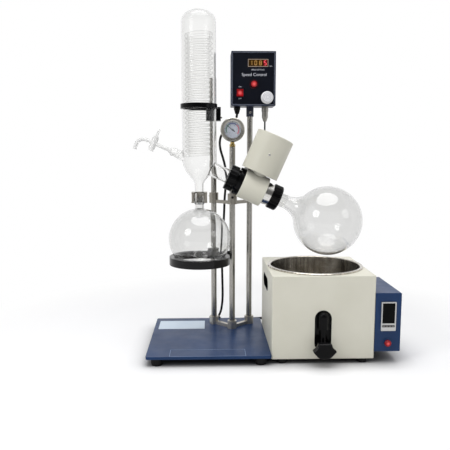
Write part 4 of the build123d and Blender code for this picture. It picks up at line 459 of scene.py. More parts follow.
# %% Metals
ALONG_Z = (1500.0, 1500.0, 4.0)
EVEN = (700.0, 700.0, 700.0)
pole_steel = metal("pole_steel", (166, 164, 159), (150, 148, 143), ALONG_Z, 0.22, 0.27, 0.004)
# The pot's colour runs in light and dark streaks up and down its wall: painted reflection streaks.
pot_steel = metal("pot_steel", (210, 205, 196), (152, 147, 138), (200.0, 200.0, 1.2), 0.18, 0.26, 0.004)
bright_steel = metal("bright_steel", (222, 221, 218), (196, 194, 190), EVEN, 0.12, 0.2, 0.01)
gauge_steel = metal("gauge_steel", (200, 197, 189), (176, 173, 166), EVEN, 0.24, 0.34, 0.01)
tie_alloy = metal("tie_alloy", (160, 156, 148), (128, 124, 117), EVEN, 0.32, 0.46, 0.05)
dark_steel = metal("dark_steel", (158, 156, 151), (126, 124, 120), EVEN, 0.3, 0.42, 0.03)
brass = metal("brass", (196, 172, 112), (158, 134, 80), EVEN, 0.22, 0.34, 0.02)
cast_alloy = metal("cast_alloy", (208, 204, 196), (172, 168, 160), EVEN, 0.36, 0.5, 0.06)
motor_iron = metal("motor_iron", (96, 96, 98), (66, 66, 68), EVEN, 0.45, 0.6, 0.2)
module_silver = metal("module_silver", (206, 206, 204), (180, 180, 178), EVEN, 0.3, 0.42, 0.05)
print("ten metals")

# %% [markdown]
# ### The pot's polish
#
# A pressed pot is polished while it turns, so its fine lines run round it and light streaks up and down the
# wall. The shader can do that by itself: an anisotropic highlight is stretched across the lines, and a radial
# tangent tells it that the lines go round the pot's own axis. Its colour is streaked up and down as well,
# with painted reflection streaks.

# %% Polish of the pot
tree = pot_steel.node_tree
shader = tree.nodes["Principled BSDF"]
put(shader, Anisotropic=0.85, Anisotropic_Rotation=0.25)
round_pot = add(tree, "ShaderNodeTangent", direction_type="RADIAL", axis="Z")
wire(tree, round_pot, "Tangent", shader, "Tangent")
print("pot polished round its axis")

# %% [markdown]
# ### Bright and dark screws
#
# The collars are closed by bright screws, while those in the black flange are dark. All of them are one
# CAD node, so the finish itself has to know where it is: it is dark near the drive head's middle.

# %% Screw steel
DARK_REACH = 0.075
housing_low, housing_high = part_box("gear_housing")
head_middle = (housing_low + housing_high) / 2
screw_steel, tree, shader = start_material("screw_steel")
lines = use_group(tree, brushed, Stretch=EVEN, Light=srgb(206, 205, 202), Dark=srgb(170, 168, 164))
dull = use_group(tree, gloss, Low=0.2, High=0.32, Scale=60.0)
coordinates = add(tree, "ShaderNodeTexCoord")
gap = add(tree, "ShaderNodeVectorMath", operation="DISTANCE")
gap.inputs[1].default_value = head_middle
near = add(tree, "ShaderNodeMath", operation="LESS_THAN")
near.inputs[1].default_value = DARK_REACH
dark_near_head = add(tree, "ShaderNodeMix", data_type="RGBA")
put(dark_near_head, B=srgb(30, 30, 32))
wire(tree, coordinates, "Object", gap, 0)
wire(tree, gap, "Value", near, 0)
wire(tree, near, "Value", dark_near_head, "Factor")
wire(tree, lines, "Colour", dark_near_head, "A")
wire(tree, dark_near_head, "Result", shader, "Base Color")
wire(tree, dull, "Roughness", shader, "Roughness")
put(shader, Metallic=1.0)
print("screws are dark within", DARK_REACH, "m of the head")

# %% [markdown]
# ## Glass
#
# Borosilicate glass is nearly colourless, and on a white ground it shows by its darker rims and by a light
# grey tone, because each wall takes a little of the light. The tone is the Base Color of a transmitting
# shader, and it deepens at the rims, where one looks along the wall: that darker rim is partly the glass's
# own tint and partly painted shade for the dark edges that refraction shows. Light for shadows passes
# straight through, otherwise the flasks would throw black shadows. The feed line and its stopcock are thick
# and ground, so they look whitish.

# %% Glass


def glass_material(name, tone, rim, bend, low, high, clear_share=1.0, wave=0.01):
    """Glass of a grey tone that deepens towards the rim, partly tint and partly painted shade, with the
    refraction bend.
    """
    made, tree, shader = start_material(name)
    put(shader, Transmission_Weight=clear_share, IOR=bend)
    facing = add(tree, "ShaderNodeLayerWeight")
    put(facing, Blend=0.4)
    shade_mix = add(tree, "ShaderNodeMix", data_type="RGBA")
    put(shade_mix, A=(tone, tone, tone * 0.995, 1), B=(rim, rim, rim * 0.995, 1))
    wire(tree, facing, "Facing", shade_mix, "Factor")
    wire(tree, shade_mix, "Result", shader, "Base Color")
    dull = use_group(tree, gloss, Low=low, High=high, Scale=14.0)
    wire(tree, dull, "Roughness", shader, "Roughness")
    wavy = use_group(tree, skin, Coarse_Scale=45.0, Fine_Scale=140.0, Fine_Share=0.25)
    bump_from(tree, wavy, shader, wave, 0.0015)
    clear = add(tree, "ShaderNodeBsdfTransparent")
    path = add(tree, "ShaderNodeLightPath")
    choose = add(tree, "ShaderNodeMixShader")
    wire(tree, path, "Is Shadow Ray", choose, "Fac")
    wire(tree, shader, "BSDF", choose, 1)
    wire(tree, clear, "BSDF", choose, 2)
    wire(tree, choose, "Shader", tree.nodes["Material Output"], "Surface")
    return made


# Each rim tone darkens the glass where one looks along its wall: painted shade on top of the glass's own
# tint.
jacket_glass = glass_material("jacket_glass", 0.955, 0.8, 1.2, 0.0, 0.02)
flask_glass = glass_material("flask_glass", 0.87, 0.72, 1.45, 0.0, 0.015, wave=0.02)
tube_glass = glass_material("tube_glass", 0.8, 0.6, 1.3, 0.2, 0.3, 0.3)
# The coil's darker rim tone paints its soft bands as shade.
coil_glass = glass_material("coil_glass", 0.985, 0.72, 1.004, 0.02, 0.06, wave=0.002)
lens_glass = glass_material("lens_glass", 0.98, 0.9, 1.45, 0.0, 0.01)
print("five kinds of glass")

# %% [markdown]
# ## Lit plastic
#
# The rocker and the two round buttons are clear red plastic with a lamp behind. A lamp shows as a bright
# middle that falls off towards the rim, so the glow follows the distance from the button's own axis.

# %% Lit red plastic


def lit_red(name, centre, reach, strength):
    """Red plastic with a glow that fades with the distance from centre."""
    made, tree, shader = start_material(name)
    colour = use_group(tree, drift, Light=srgb(150, 14, 22), Dark=srgb(120, 8, 14), Scale=60.0)
    wire(tree, colour, "Colour", shader, "Base Color")
    dull = use_group(tree, gloss, Low=0.12, High=0.22, Scale=80.0)
    wire(tree, dull, "Roughness", shader, "Roughness")
    coordinates = add(tree, "ShaderNodeTexCoord")
    gap = add(tree, "ShaderNodeVectorMath", operation="DISTANCE")
    gap.inputs[1].default_value = centre
    fall = add(tree, "ShaderNodeMapRange", interpolation_type="SMOOTHSTEP")
    put(fall, From_Min=reach, From_Max=0.0)
    ramp = add(tree, "ShaderNodeMix", data_type="RGBA")
    put(ramp, A=srgb(40, 0, 2), B=srgb(255, 120, 120))
    wire(tree, coordinates, "Object", gap, 0)
    wire(tree, gap, "Value", fall, "Value")
    wire(tree, fall, "Result", ramp, "Factor")
    wire(tree, ramp, "Result", shader, "Emission Color")
    put(shader, Emission_Strength=strength, Specular_IOR_Level=0.2)
    return made


def front_middle(node):
    """Middle of a node's front, the side towards the camera."""
    low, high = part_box(node)
    return Vector(((low.x + high.x) / 2, low.y, (low.z + high.z) / 2))


rocker_red = lit_red("rocker_red", front_middle("rocker_switch"), 0.0085, 0.75)
start_red = lit_red("start_red", front_middle("start_button"), 0.0085, 0.6)
lamp_red = lit_red("lamp_red", front_middle("bath_button"), 0.0065, 0.5)
print("three lit plastics")

# %% [markdown]
# ## Putting the finishes on
#
# A CAD node keeps its mesh and only gets a material. Pieces that are made the same way share one finish, so
# the list goes by finish.

# %% Assign finishes
FINISHES = [
    (blue_paint, "base_plate control_box"),
    (cream_paint, "gear_housing bath_case"),
    (can_paint, "motor_cover"),
    (dark_navy, "controller_case"),
    (panel_film, "controller_panel"),
    (pole_steel, "front_pole left_pole right_pole"),
    (pot_steel, "bath_pot"),
    (bright_steel, "flask_hub"),
    (gauge_steel, "gauge_case"),
    (screw_steel, "clamp_screws"),
    (dark_steel, "spindle drive_pinion crown_gear spindle_bearings bath_heater motor_connector"),
    (brass, "gauge_fitting"),
    (cast_alloy, "base_bracket"),
    (tie_alloy, "tie_bracket head_carrier joint_clip"),
    (motor_iron, "motor"),
    (module_silver, "temperature_module"),
    (gloss_black, "seal_flange condenser_nut flask_nut condenser_clamp cord_gland drain_tap"),
    (black_with_painted_edge_highlight, "tap_handle"),
    (gloss_black, "tap_recess side_grip mains_plug power_inlet gauge_needle"),
    (ring_black, "receiver_ring ring_screw"),
    (black_rubber, "base_feet bath_feet"),
    (cord_rubber, "motor_lead mains_cord cord_coil"),
    (white_plastic, "speed_knob"),
    (pale_print, "gauge_dial"),
    (seal_plastic, "spindle_seal"),
    (flask_glass, "evaporating_flask receiving_flask"),
    (jacket_glass, "condenser_jacket vapour_tube"),
    (tube_glass, "feed_tube stopcock_key"),
    (lens_glass, "gauge_lens"),
    (coil_glass, "condenser_coil"),
    (rocker_red, "rocker_switch"),
    (start_red, "start_button"),
    (lamp_red, "bath_button"),
]
finished = set()
for finish, names in FINISHES:
    for name in names.split():
        nodes[name].data.materials.clear()
        nodes[name].data.materials.append(finish)
        finished.add(name)
print("bare nodes:", sorted(set(nodes) - finished))

# %% [markdown]
# ## Tools for the small added pieces
#
# Print, digits, thin frames and little turned fittings are all made from two kinds of mesh: flat outlines
# given a little thickness, as ink or foil has, and half outlines spun round an axis, as a lathe does. Words
# are flat outlines too, which Blender's own font draws. All are made in a small frame of their own, with z
# pointing out of the surface, and then put in place.

# %% Tools
FACING_FRONT = Matrix.Rotation(math.radians(90), 4, "X")


def new_piece(name, mesh, finish, body="stand"):
    """Put a mesh in the scene as a piece of the object, with its finish and its carrying body."""
    mesh.materials.append(finish)
    piece = bpy.data.objects.new(name, mesh)
    scene.collection.objects.link(piece)
    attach(piece, body)
    return piece


def flat_mesh(name, outlines, thick, place):
    """Flat outlines, drawn counterclockwise, with a little thickness."""
    shape = bmesh.new()
    for outline in outlines:
        low = [shape.verts.new((x, y, 0)) for x, y in outline]
        high = [shape.verts.new((x, y, thick)) for x, y in outline]
        shape.faces.new(high)
        shape.faces.new(low[::-1])
        for index in range(len(outline)):
            shape.faces.new((low[index - 1], low[index], high[index], high[index - 1]))
    bmesh.ops.transform(shape, matrix=place, verts=shape.verts)
    mesh = bpy.data.meshes.new(name)
    shape.to_mesh(mesh)
    shape.free()
    return mesh


def frame_outlines(width, height, line):
    """Four mitred bars of a rectangular frame round the origin."""
    outer = [(side * width / 2, end * height / 2) for side, end in ((-1, -1), (1, -1), (1, 1), (-1, 1))]
    inner = [(x - math.copysign(line, x), y - math.copysign(line, y)) for x, y in outer]
    return [[outer[i - 1], outer[i], inner[i], inner[i - 1]] for i in range(4)]


def rounded_outline(width, height, radius, steps=5):
    """Rectangle with round corners round the origin."""
    outline = []
    for quarter, (side, end) in enumerate(((1, 1), (-1, 1), (-1, -1), (1, -1))):
        for step in range(steps + 1):
            angle = math.radians(90) * (quarter + step / steps)
            x = side * (width / 2 - radius) + radius * math.cos(angle)
            y = end * (height / 2 - radius) + radius * math.sin(angle)
            outline.append((x, y))
    return outline


def lathe_mesh(name, profile, place, steps=40):
    """Turned part: a half outline, in millimetres, spun round its own z axis."""
    shape = bmesh.new()
    line = [shape.verts.new((radius * MM, 0, height * MM)) for radius, height in profile]
    edges = [shape.edges.new(pair) for pair in zip(line, line[1:])]
    bmesh.ops.spin(shape, geom=line + edges, axis=(0, 0, 1), cent=(0, 0, 0), steps=steps, angle=2 * math.pi)
    bmesh.ops.remove_doubles(shape, verts=shape.verts[:], dist=0.000001)
    bmesh.ops.recalc_face_normals(shape, faces=shape.faces[:])
    bmesh.ops.transform(shape, matrix=place, verts=shape.verts)
    mesh = bpy.data.meshes.new(name)
    shape.to_mesh(mesh)
    shape.free()
    mesh.shade_smooth()
    mesh.set_sharp_from_angle(angle=math.radians(35))
    return mesh


def text_mesh(name, words, size, place):
    """Words as flat letters with a little thickness."""
    curve = bpy.data.curves.new(name, "FONT")
    curve.body = words
    curve.size = size
    curve.extrude = 0.00006
    curve.align_x = "CENTER"
    curve.align_y = "CENTER"
    letters = bpy.data.objects.new(name, curve)
    mesh = bpy.data.meshes.new_from_object(letters)
    mesh.name = name
    mesh.transform(place)
    bpy.data.objects.remove(letters)
    return mesh


print("tools ready")

# %% [markdown]
# ## The condenser's coil
#
# Inside the jacket a glass tube is wound like a spring, and the cooling water runs through it. In CAD a
# spring with many turns is heavy, so there it has few sides. Here it is swept smoothly: a ring of points is
# carried along the helix, and the two straight legs leave through the back. It is full of water, which bends
# light almost as glass does, so its glass barely bends light here, and its soft bands are painted shade from
# the darker rim tone of its glass, not bright and black stripes.

# %% Line of the coil
COIL_TURNS = 25.5
COIL_STEPS = 20
COIL_RADIUS = 32.5 * MM
COIL_MARGIN = 6 * MM
coil_low, coil_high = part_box("condenser_coil")
coil_axis_x = (coil_low.x + coil_high.x) / 2
coil_axis_y = coil_low.y + (coil_high.x - coil_low.x) / 2
coil_bottom = coil_low.z + COIL_MARGIN
coil_top = coil_high.z - COIL_MARGIN
leg_end = coil_high.y
coil_path = [(coil_axis_x - COIL_RADIUS, leg_end, coil_bottom)]
for step in range(int(COIL_TURNS * COIL_STEPS) + 1):
    share = step / (COIL_TURNS * COIL_STEPS)
    angle = math.pi + 2 * math.pi * COIL_TURNS * share
    coil_path.append((
        coil_axis_x + COIL_RADIUS * math.cos(angle),
        coil_axis_y + COIL_RADIUS * math.sin(angle),
        coil_bottom + (coil_top - coil_bottom) * share,
    ))
coil_path.append((coil_axis_x + COIL_RADIUS, leg_end, coil_top))
coil_path = [Vector(point) for point in coil_path]
print("coil of", COIL_TURNS, "turns from", round(coil_bottom, 3), "to", round(coil_top, 3))

# %% Tube along that line
COIL_TUBE = 4.6 * MM
COIL_SIDES = 10
coil_verts = []
for index, point in enumerate(coil_path):
    before = coil_path[max(index - 1, 0)]
    after = coil_path[min(index + 1, len(coil_path) - 1)]
    along = (after - before).normalized()
    side = along.cross(Vector((0, 0, 1))).normalized()
    up = side.cross(along)
    for turn in range(COIL_SIDES):
        angle = 2 * math.pi * turn / COIL_SIDES
        coil_verts.append(point + COIL_TUBE * (side * math.cos(angle) + up * math.sin(angle)))
coil_faces = [tuple(range(COIL_SIDES))[::-1]]
for ring in range(len(coil_path) - 1):
    for turn in range(COIL_SIDES):
        near, far = ring * COIL_SIDES, (ring + 1) * COIL_SIDES
        other = (turn + 1) % COIL_SIDES
        coil_faces.append((near + turn, near + other, far + other, far + turn))
coil_faces.append(tuple(range((len(coil_path) - 1) * COIL_SIDES, len(coil_path) * COIL_SIDES)))
coil_mesh = bpy.data.meshes.new("coil_tube")
coil_mesh.from_pydata(coil_verts, [], coil_faces)
coil_mesh.shade_smooth()
coil_tube = new_piece("coil_tube", coil_mesh, coil_glass)
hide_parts("condenser_coil")
print("tube with", len(coil_faces), "faces")

# %% [markdown]
# ## The vacuum gauge's print
#
# A dial is printed in a few flat inks: a scale ring in three colours, black ticks and numbers. Each ink is a
# set of thin outlines just above the dial. A pressed steel ring in front of the lens makes the bezel look as
# wide as it is on the real gauge.

# %% Inks


def ink(name, red, green, blue):
    """Flat print of one colour, a little uneven."""
    deep = (red * 0.92, green * 0.92, blue * 0.92)
    edge = (red + 12, green + 12, blue + 12)
    return coated(name, (red, green, blue), deep, edge, 0.4, 0.55, 60.0, 0.02)


green_ink = ink("green_ink", 66, 126, 106)
blue_ink = ink("blue_ink", 80, 92, 146)
red_ink = ink("red_ink", 184, 88, 108)
black_ink = ink("black_ink", 22, 22, 26)
white_ink = ink("white_ink", 196, 198, 206)
print("five inks")

# %% Dial
SCALE_START, SCALE_SWEEP = 225, 270
RING_INNER, RING_OUTER = 15.5 * MM, 18.5 * MM
INK = 0.12 * MM
DIAL_DEPTH = 7 * MM
gauge_low, gauge_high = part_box("gauge_case")
gauge_x = (gauge_low.x + gauge_high.x) / 2
gauge_z = (gauge_low.z + gauge_high.z) / 2
dial_place = Matrix.Translation((gauge_x, gauge_low.y + DIAL_DEPTH, gauge_z)) @ FACING_FRONT


def on_scale(share, radius):
    """Point on the dial at that share of its sweep, which runs clockwise from the lower left."""
    angle = math.radians(SCALE_START - SCALE_SWEEP * share)
    return (radius * math.cos(angle), radius * math.sin(angle))


def scale_band(first, last, steps=12):
    """Part of the coloured ring as a row of small quads."""
    shares = [first + (last - first) * step / steps for step in range(steps + 1)]
    inner = [on_scale(share, RING_INNER) for share in shares]
    outer = [on_scale(share, RING_OUTER) for share in shares]
    return [[outer[i], outer[i + 1], inner[i + 1], inner[i]] for i in range(steps)]


def tick(share, inner, outer, width):
    """Short radial line."""
    angle = math.radians(SCALE_START - SCALE_SWEEP * share)
    across = Vector((-math.sin(angle), math.cos(angle))) * width / 2
    start, end = Vector(on_scale(share, inner)), Vector(on_scale(share, outer))
    return [tuple(start - across), tuple(end - across), tuple(end + across), tuple(start + across)]


for label, print_ink, first, last in (
    ("green", green_ink, 0.06, 0.38), ("blue", blue_ink, 0.38, 0.64), ("red", red_ink, 0.64, 0.98),
):
    band = flat_mesh(f"dial_{label}", scale_band(first, last), INK, dial_place)
    new_piece(f"dial_{label}", band, print_ink)
ticks = [tick(step / 10, 19 * MM, 22.4 * MM, 0.9 * MM) for step in range(11)]
ticks += [tick((step + 0.5) / 10, 19 * MM, 21 * MM, 0.5 * MM) for step in range(10)]
new_piece("dial_ticks", flat_mesh("dial_ticks", ticks, INK, dial_place), black_ink)
for number in range(0, 11, 2):
    x, y = on_scale(number / 10, 12.2 * MM)
    spot = dial_place @ Matrix.Translation((x, y, 0))
    mesh = text_mesh(f"dial_number_{number}", str(number), 4.2 * MM, spot)
    new_piece(f"dial_number_{number}", mesh, black_ink)
print("dial with", len(ticks), "ticks")

# %% Ring of the gauge
RING_DEPTH = 0.95 * MM
ring_place = Matrix.Translation((gauge_x, gauge_low.y + RING_DEPTH, gauge_z)) @ FACING_FRONT
bezel_profile = [(26.9, 0), (26.9, 0.85), (24.5, 0.8), (23.0, 0.3), (22.8, 0), (26.9, 0)]
new_piece("gauge_ring", lathe_mesh("gauge_ring", bezel_profile, ring_place, 64), gauge_steel)
print("ring in front of the lens")

# %% [markdown]
# ## The controller's face
#
# The speed controller has a small window with lit digits, a few words of print and a grey trim line round
# its panel. A seven-segment digit is seven little bars, of which some are lit, so one function draws any
# number.

# %% Digits
DIGIT_WIDTH, DIGIT_HEIGHT, BAR = 7.2 * MM, 13.0 * MM, 1.9 * MM
LIT_BARS = {"0": "abcdef", "1": "bc", "5": "acdfg", "8": "abcdefg"}
PANEL_SUNK, PANEL_MIDDLE = 2 * MM, 73 * MM
case_low, case_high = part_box("controller_case")
panel_x = (case_low.x + case_high.x) / 2
panel_front = case_low.y + PANEL_SUNK
panel_z = case_high.z - PANEL_MIDDLE


def on_panel(x, z, lift=0.0):
    """Place on the panel, in millimetres from its middle."""
    return Matrix.Translation((panel_x + x * MM, panel_front - lift * MM, panel_z + z * MM)) @ FACING_FRONT


def bar(x, y, lying):
    """One lit bar with pointed ends, lying or standing."""
    tip = BAR / 2
    length = DIGIT_WIDTH / 2 - tip if lying else DIGIT_HEIGHT / 4 - tip / 2
    neck = length - tip
    shape = [(-length, 0), (-neck, -tip), (neck, -tip), (length, 0), (neck, tip), (-neck, tip)]
    return [(x + a, y + b) if lying else (x - b, y + a) for a, b in shape]


def digit_outlines(digit):
    """Lit bars of a seven-segment digit round the origin."""
    side, half = DIGIT_WIDTH / 2 - BAR / 2, DIGIT_HEIGHT / 2 - BAR / 2
    bars = {
        "a": bar(0, half, True),
        "b": bar(side, half / 2, False),
        "c": bar(side, -half / 2, False),
        "d": bar(0, -half, True),
        "e": bar(-side, -half / 2, False),
        "f": bar(-side, half / 2, False),
        "g": bar(0, 0, True),
    }
    return [bars[label] for label in LIT_BARS[digit]]


print("digits", " ".join(LIT_BARS))

# %% Finishes of the display


def glowing(name, colour, edge, strength):
    """Lit plastic that glows in one colour, a little uneven."""
    made, tree, shader = start_material(name)
    uneven = use_group(tree, drift, Light=colour, Dark=edge, Scale=400.0)
    wire(tree, uneven, "Colour", shader, "Emission Color")
    wire(tree, uneven, "Colour", shader, "Base Color")
    put(shader, Emission_Strength=strength)
    return made


amber_window = coated(
    "amber_window", (62, 44, 14), (46, 30, 10), (76, 56, 26), 0.1, 0.2, 60.0, 0.01, mirror=0.1,
)
red_window = coated(
    "red_window", (96, 16, 18), (78, 10, 12), (110, 26, 28), 0.1, 0.2, 60.0, 0.01, mirror=0.1,
)
amber_light = glowing("amber_light", srgb(168, 126, 56), srgb(140, 98, 40), 0.25)
red_light = glowing("red_light", srgb(240, 84, 92), srgb(210, 54, 62), 0.5)
pale_brown = coated("pale_brown", (176, 158, 138), (160, 142, 124), (190, 174, 156), 0.4, 0.5, 60.0)
print("display finishes ready")

# %% Display
DISPLAY_X, DISPLAY_Z = 12.5, 42
DISPLAY_WIDTH, DISPLAY_HEIGHT = 55 * MM, 20 * MM
WINDOW_LIFT, BORDER_LIFT, DIGIT_LIFT = -0.95, -0.45, -0.34
SHOWN, DIGIT_STEP = "1085", 13.0
window_outline = rounded_outline(DISPLAY_WIDTH, DISPLAY_HEIGHT, 1 * MM)
window_place = on_panel(DISPLAY_X, DISPLAY_Z, WINDOW_LIFT)
window = flat_mesh("display_window", [window_outline], 0.5 * MM, window_place)
new_piece("display_window", window, amber_window)
last_outline = rounded_outline(12 * MM, 17.4 * MM, 1 * MM)
last_place = on_panel(DISPLAY_X + 20, DISPLAY_Z, BORDER_LIFT)
last = flat_mesh("display_last", [last_outline], 0.1 * MM, last_place)
new_piece("display_last", last, red_window)
border_bars = frame_outlines(DISPLAY_WIDTH, DISPLAY_HEIGHT, 1.1 * MM)
border = flat_mesh("display_border", border_bars, 0.6 * MM, on_panel(DISPLAY_X, DISPLAY_Z, BORDER_LIFT))
new_piece("display_border", border, pale_brown)
for index, digit in enumerate(SHOWN):
    place = on_panel(DISPLAY_X + (index - 1.5) * DIGIT_STEP, DISPLAY_Z, DIGIT_LIFT)
    mesh = flat_mesh(f"digit_{index}", digit_outlines(digit), 0.15 * MM, place)
    new_piece(f"digit_{index}", mesh, red_light if index == 3 else amber_light)
print("display reads", SHOWN)

# %% Panel print and trim
PRINT = [
    ("print_rpm", "rpm", 4.5, 47.5, 34),
    ("print_setting", "SPEED SETTING", 5.2, 12, 23.5),
    ("print_control", "Speed Control", 11.5, 2, 10.5),
    ("print_on", "ON", 5.0, -36.6, -22),
    ("print_off", "OFF", 5.0, -36.6, -53.5),
]
for name, words, size, x, z in PRINT:
    new_piece(name, text_mesh(name, words, size * MM, on_panel(x, z, 0.08)), white_ink)
trim_line = coated("trim_line", (112, 118, 132), (98, 104, 118), (136, 142, 154), 0.4, 0.5, 40.0)
trim = flat_mesh("panel_trim", frame_outlines(115.6 * MM, 139.6 * MM, 1.1 * MM), 0.4 * MM, on_panel(0, 0))
new_piece("panel_trim", trim, trim_line)
print(len(PRINT), "words of print")

# %% [markdown]
# ### The collar and the knob's rings
#
# The start button sits in a dark red collar that holds its lamp, and the white knob is turned with fine rings
# on its face, drawn as thin grey rings of painted shade where its grooves lie. All of these are spun half
# outlines, thin enough to clear what moves beside them, and the rings ride on the knob so that they turn with
# it.

# %% Collar and knob rings
KNOB_RINGS = (4.0, 8.0, 12.0)
dark_red = coated("dark_red", (84, 9, 15), (68, 6, 11), (98, 15, 21), 0.2, 0.3, 60.0, 0.01, mirror=0.1)
# Grey of the knob's rings: painted shade of its grooves.
painted_groove_shade = coated("painted_groove_shade", (176, 177, 184), (160, 161, 168), (190, 190, 196), 0.4, 0.5, 60.0)


def ring_profile(inner, outer, thick):
    """Half outline of a flat ring with a rounded rim, in millimetres."""
    rim = [(outer, 0), (outer, thick * 0.6), (outer - thick * 0.4, thick)]
    return [(inner, 0), *rim, (inner, thick), (inner, 0)]


start_low, start_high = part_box("start_button")
start_radius = (start_high.x - start_low.x) / 2 / MM
start_middle = front_middle("start_button")
start_place = Matrix.Translation((start_middle.x, panel_front, start_middle.z)) @ FACING_FRONT
collar_profile = ring_profile(start_radius + 0.4, start_radius + 3.4, 1.6)
new_piece("start_collar", lathe_mesh("start_collar", collar_profile, start_place), dark_red)
knob_middle = front_middle("speed_knob")
for index, radius in enumerate(KNOB_RINGS):
    place = Matrix.Translation(knob_middle) @ FACING_FRONT
    mesh = lathe_mesh(f"knob_ring_{index}", ring_profile(radius, radius + 1.1, 0.12), place)
    new_piece(f"knob_ring_{index}", mesh, painted_groove_shade, "knob")
print("collar and", len(KNOB_RINGS), "knob rings")

# %% [markdown]
# ## The bath's temperature module
#
# A panel instrument is a silver bezel round a black window, with a row of small keys below it. The window is
# smoked plastic and the keys are rubber, so they are separate thin pieces that ride on the bath.

# %% Module window and keys
MODULE_KEYS = 4
KEYS_Z, KEY_STEP = -24.5, 7.4
module_low, module_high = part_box("temperature_module")
module_x = (module_low.x + module_high.x) / 2
module_z = (module_low.z + module_high.z) / 2


def on_module(x, z, lift):
    """Place on the module's front, in millimetres from its middle."""
    return Matrix.Translation((module_x + x * MM, module_low.y - lift * MM, module_z + z * MM)) @ FACING_FRONT


smoked = coated("smoked_window", (9, 11, 10), (5, 7, 6), (14, 16, 15), 0.12, 0.2, 60.0, 0.01, mirror=0.06)
smoked_outline = rounded_outline(30.6 * MM, 50.6 * MM, 1 * MM)
window = flat_mesh("module_window", [smoked_outline], 0.5 * MM, on_module(0, 8, -0.95))
new_piece("module_window", window, smoked, "bath")
band_outline = rounded_outline(31 * MM, 5.6 * MM, 1 * MM)
band = flat_mesh("module_key_band", [band_outline], 0.25 * MM, on_module(0, KEYS_Z, 0))
new_piece("module_key_band", band, satin_black, "bath")
key_grey = coated("key_grey", (110, 108, 106), (96, 94, 92), (128, 126, 124), 0.5, 0.6, 60.0)
key_outline = rounded_outline(5.2 * MM, 3.2 * MM, 1 * MM)
for index in range(MODULE_KEYS):
    x = (index - (MODULE_KEYS - 1) / 2) * KEY_STEP
    key = flat_mesh(f"module_key_{index}", [key_outline], 0.5 * MM, on_module(x, KEYS_Z, 0.25))
    new_piece(f"module_key_{index}", key, key_grey, "bath")
print("module with", MODULE_KEYS, "keys")

# %% [markdown]
# ## The bare label and the strip on the base plate
#
# A foil label lies at the back left of the plate, and a thin outlined strip along its front. Both are bare
# here: the foil is a thin plate with round corners and the outline four thin bars.

# %% Label and strip


def on_plate(x, y):
    """Place on the base plate's top, in millimetres from its front left corner."""
    return Matrix.Translation((corner.x + x * MM, corner.y + y * MM, plate_high.z))


label = flat_mesh("foil_label", [rounded_outline(131 * MM, 76 * MM, 2 * MM)], 0.3 * MM, on_plate(77.5, 256))
new_piece("foil_label", label, label_foil)
strip_line = coated("strip_line", (104, 126, 158), (92, 114, 148), (124, 144, 174), 0.4, 0.5, 30.0)
strip = flat_mesh("strip_outline", frame_outlines(189 * MM, 48 * MM, 1.3 * MM), 0.2 * MM, on_plate(152.5, 26))
new_piece("strip_outline", strip, strip_line)
print("label and strip on the plate")

# %% [markdown]
# ## Little fittings on the drive head
#
# The motor's can is held by a small screw in front, and a pale hose end stands on the black flange. Both are
# turned parts, so each is a half outline spun round the axis on which it stands.

# %% Fittings
HEAD_TILT = math.radians(24)
head_along = Vector((math.cos(HEAD_TILT), 0, -math.sin(HEAD_TILT)))
cover_low, cover_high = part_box("motor_cover")
cover_middle = (cover_low + cover_high) / 2
screw_spot = Vector((cover_middle.x, cover_low.y, cover_middle.z))
screw_place = Matrix.Translation(screw_spot + Vector((0, 0.3 * MM, 0))) @ FACING_FRONT
screw_profile = [(0, -2), (3.2, -2), (3.2, 0.6), (2.6, 1.2), (1.4, 1.3), (1.4, 0.3), (0, 0.3)]
screw = lathe_mesh("cover_screw", screw_profile, screw_place, 24)
new_piece("cover_screw", screw, bright_steel)
flange_low, flange_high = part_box("seal_flange")
flange_middle = (flange_low + flange_high) / 2
hose_end_place = Matrix.Translation(flange_middle + head_along * 3 * MM) @ Matrix.Rotation(HEAD_TILT, 4, "Y")
hose_end_profile = [(0, 36), (4.6, 36), (4.6, 39.5), (3, 40.5), (3, 45), (3.9, 45.6), (2.6, 51), (0, 51)]
new_piece("hose_end", lathe_mesh("hose_end", hose_end_profile, hose_end_place, 24), seal_plastic)
print("screw and hose end on the head")

# %% [markdown]
# ## The mains cord
#
# A mains cord is a fixed length of flexible wire: it leaves its gland straight, hangs, and then lies on the
# table. A NURBS curve is the easiest way to draw one, because its control points pull on the line like
# fingers and it never kinks. The length that nobody sees is wound into a neat coil behind the bath.

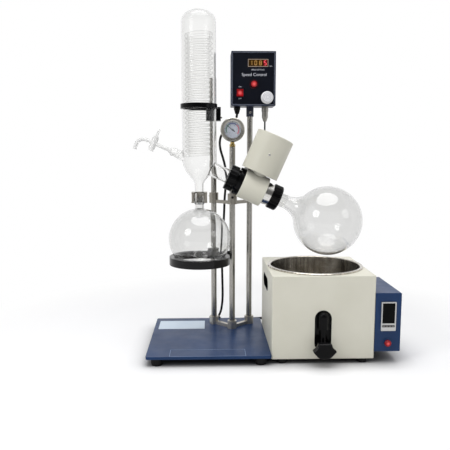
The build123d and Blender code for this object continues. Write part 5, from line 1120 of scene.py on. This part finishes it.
# %% Route of the cord
CORD_DIAMETER = 6.5 * MM
FLOOR_LEVEL = 3.4
CORD_ROUTE = [
    (236, 265, 630), (236, 265, 608), (177, 257, 565), (209, 255, 470), (201, 257, 402), (199.5, 261, 342),
    (195.5, 263, 282), (193, 262, 222), (194.5, 262.5, 162), (196, 267, 108), (193, 281, 66), (187, 304, 41),
    (184, 330, 29.5), (190, 353, 12), (208, 372, FLOOR_LEVEL), (236, 381, FLOOR_LEVEL),
    (272, 384, FLOOR_LEVEL), (312, 388, FLOOR_LEVEL), (352, 395.5, FLOOR_LEVEL), (392, 401, FLOOR_LEVEL),
]
COIL_CENTRE = (420, 362)
CORD_TURNS = 4
TURN_POINTS = 16
OUTER_TURN, INNER_TURN = 39.25, 32.75
LOW_LAYER, HIGH_LAYER = FLOOR_LEVEL, FLOOR_LEVEL + 6.5
TAIL_STEPS = ((14, 9.5), (24, 9.15))


def between(turn, start, end, first, last):
    """Value that goes from first to last while turn goes from start to end."""
    share = min(max((turn - start) / (end - start), 0), 1)
    return first + (last - first) * share


def coil_point(turn):
    """Point of the wound cord: two turns side by side below, then two on top of them."""
    inward = between(turn, 0.75, 0.95, 0, 1) - between(turn, 2.75, 2.95, 0, 1)
    radius = OUTER_TURN + (INNER_TURN - OUTER_TURN) * inward
    height = between(turn, 1.8, 2.0, LOW_LAYER, HIGH_LAYER)
    angle = math.pi / 2 - 2 * math.pi * turn
    return (COIL_CENTRE[0] + radius * math.cos(angle), COIL_CENTRE[1] + radius * math.sin(angle), height)


print("route of", len(CORD_ROUTE), "points")

# %% Cord tool


def spline_curve(name, points, radius):
    """One smooth round line through the pull of its control points, all in metres."""
    curve = bpy.data.curves.new(name, "CURVE")
    curve.dimensions = "3D"
    curve.bevel_depth = radius
    curve.bevel_resolution = 5
    curve.use_fill_caps = True
    spline = curve.splines.new("NURBS")
    spline.points.add(len(points) - 1)
    for target, point in zip(spline.points, points):
        target.co = (*point, 1)
    spline.order_u = 3
    spline.use_endpoint_u = True
    spline.resolution_u = 8
    piece = bpy.data.objects.new(name, curve)
    scene.collection.objects.link(piece)
    return piece


print("cord tool ready")

# %% Lay the cord
turns = [coil_point(step / TURN_POINTS) for step in range(CORD_TURNS * TURN_POINTS + 1)]
tail = [(COIL_CENTRE[0] + away, COIL_CENTRE[1] + OUTER_TURN, height) for away, height in TAIL_STEPS]
cord_points = [corner + Vector(point) * MM for point in CORD_ROUTE + turns + tail]
mains_cord = spline_curve("mains_cord_line", cord_points, CORD_DIAMETER / 2)
mains_cord.data.materials.append(cord_rubber)
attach(mains_cord, "stand")
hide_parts("mains_cord", "cord_coil")
print("cord has", len(cord_points), "control points")

# %% [markdown]
# ## Last update
#
# Last, the scene is updated, so that the places of all added pieces are current. The dressing only adds skin
# to the CAD model.

# %% Update the scene
bpy.context.view_layer.update()
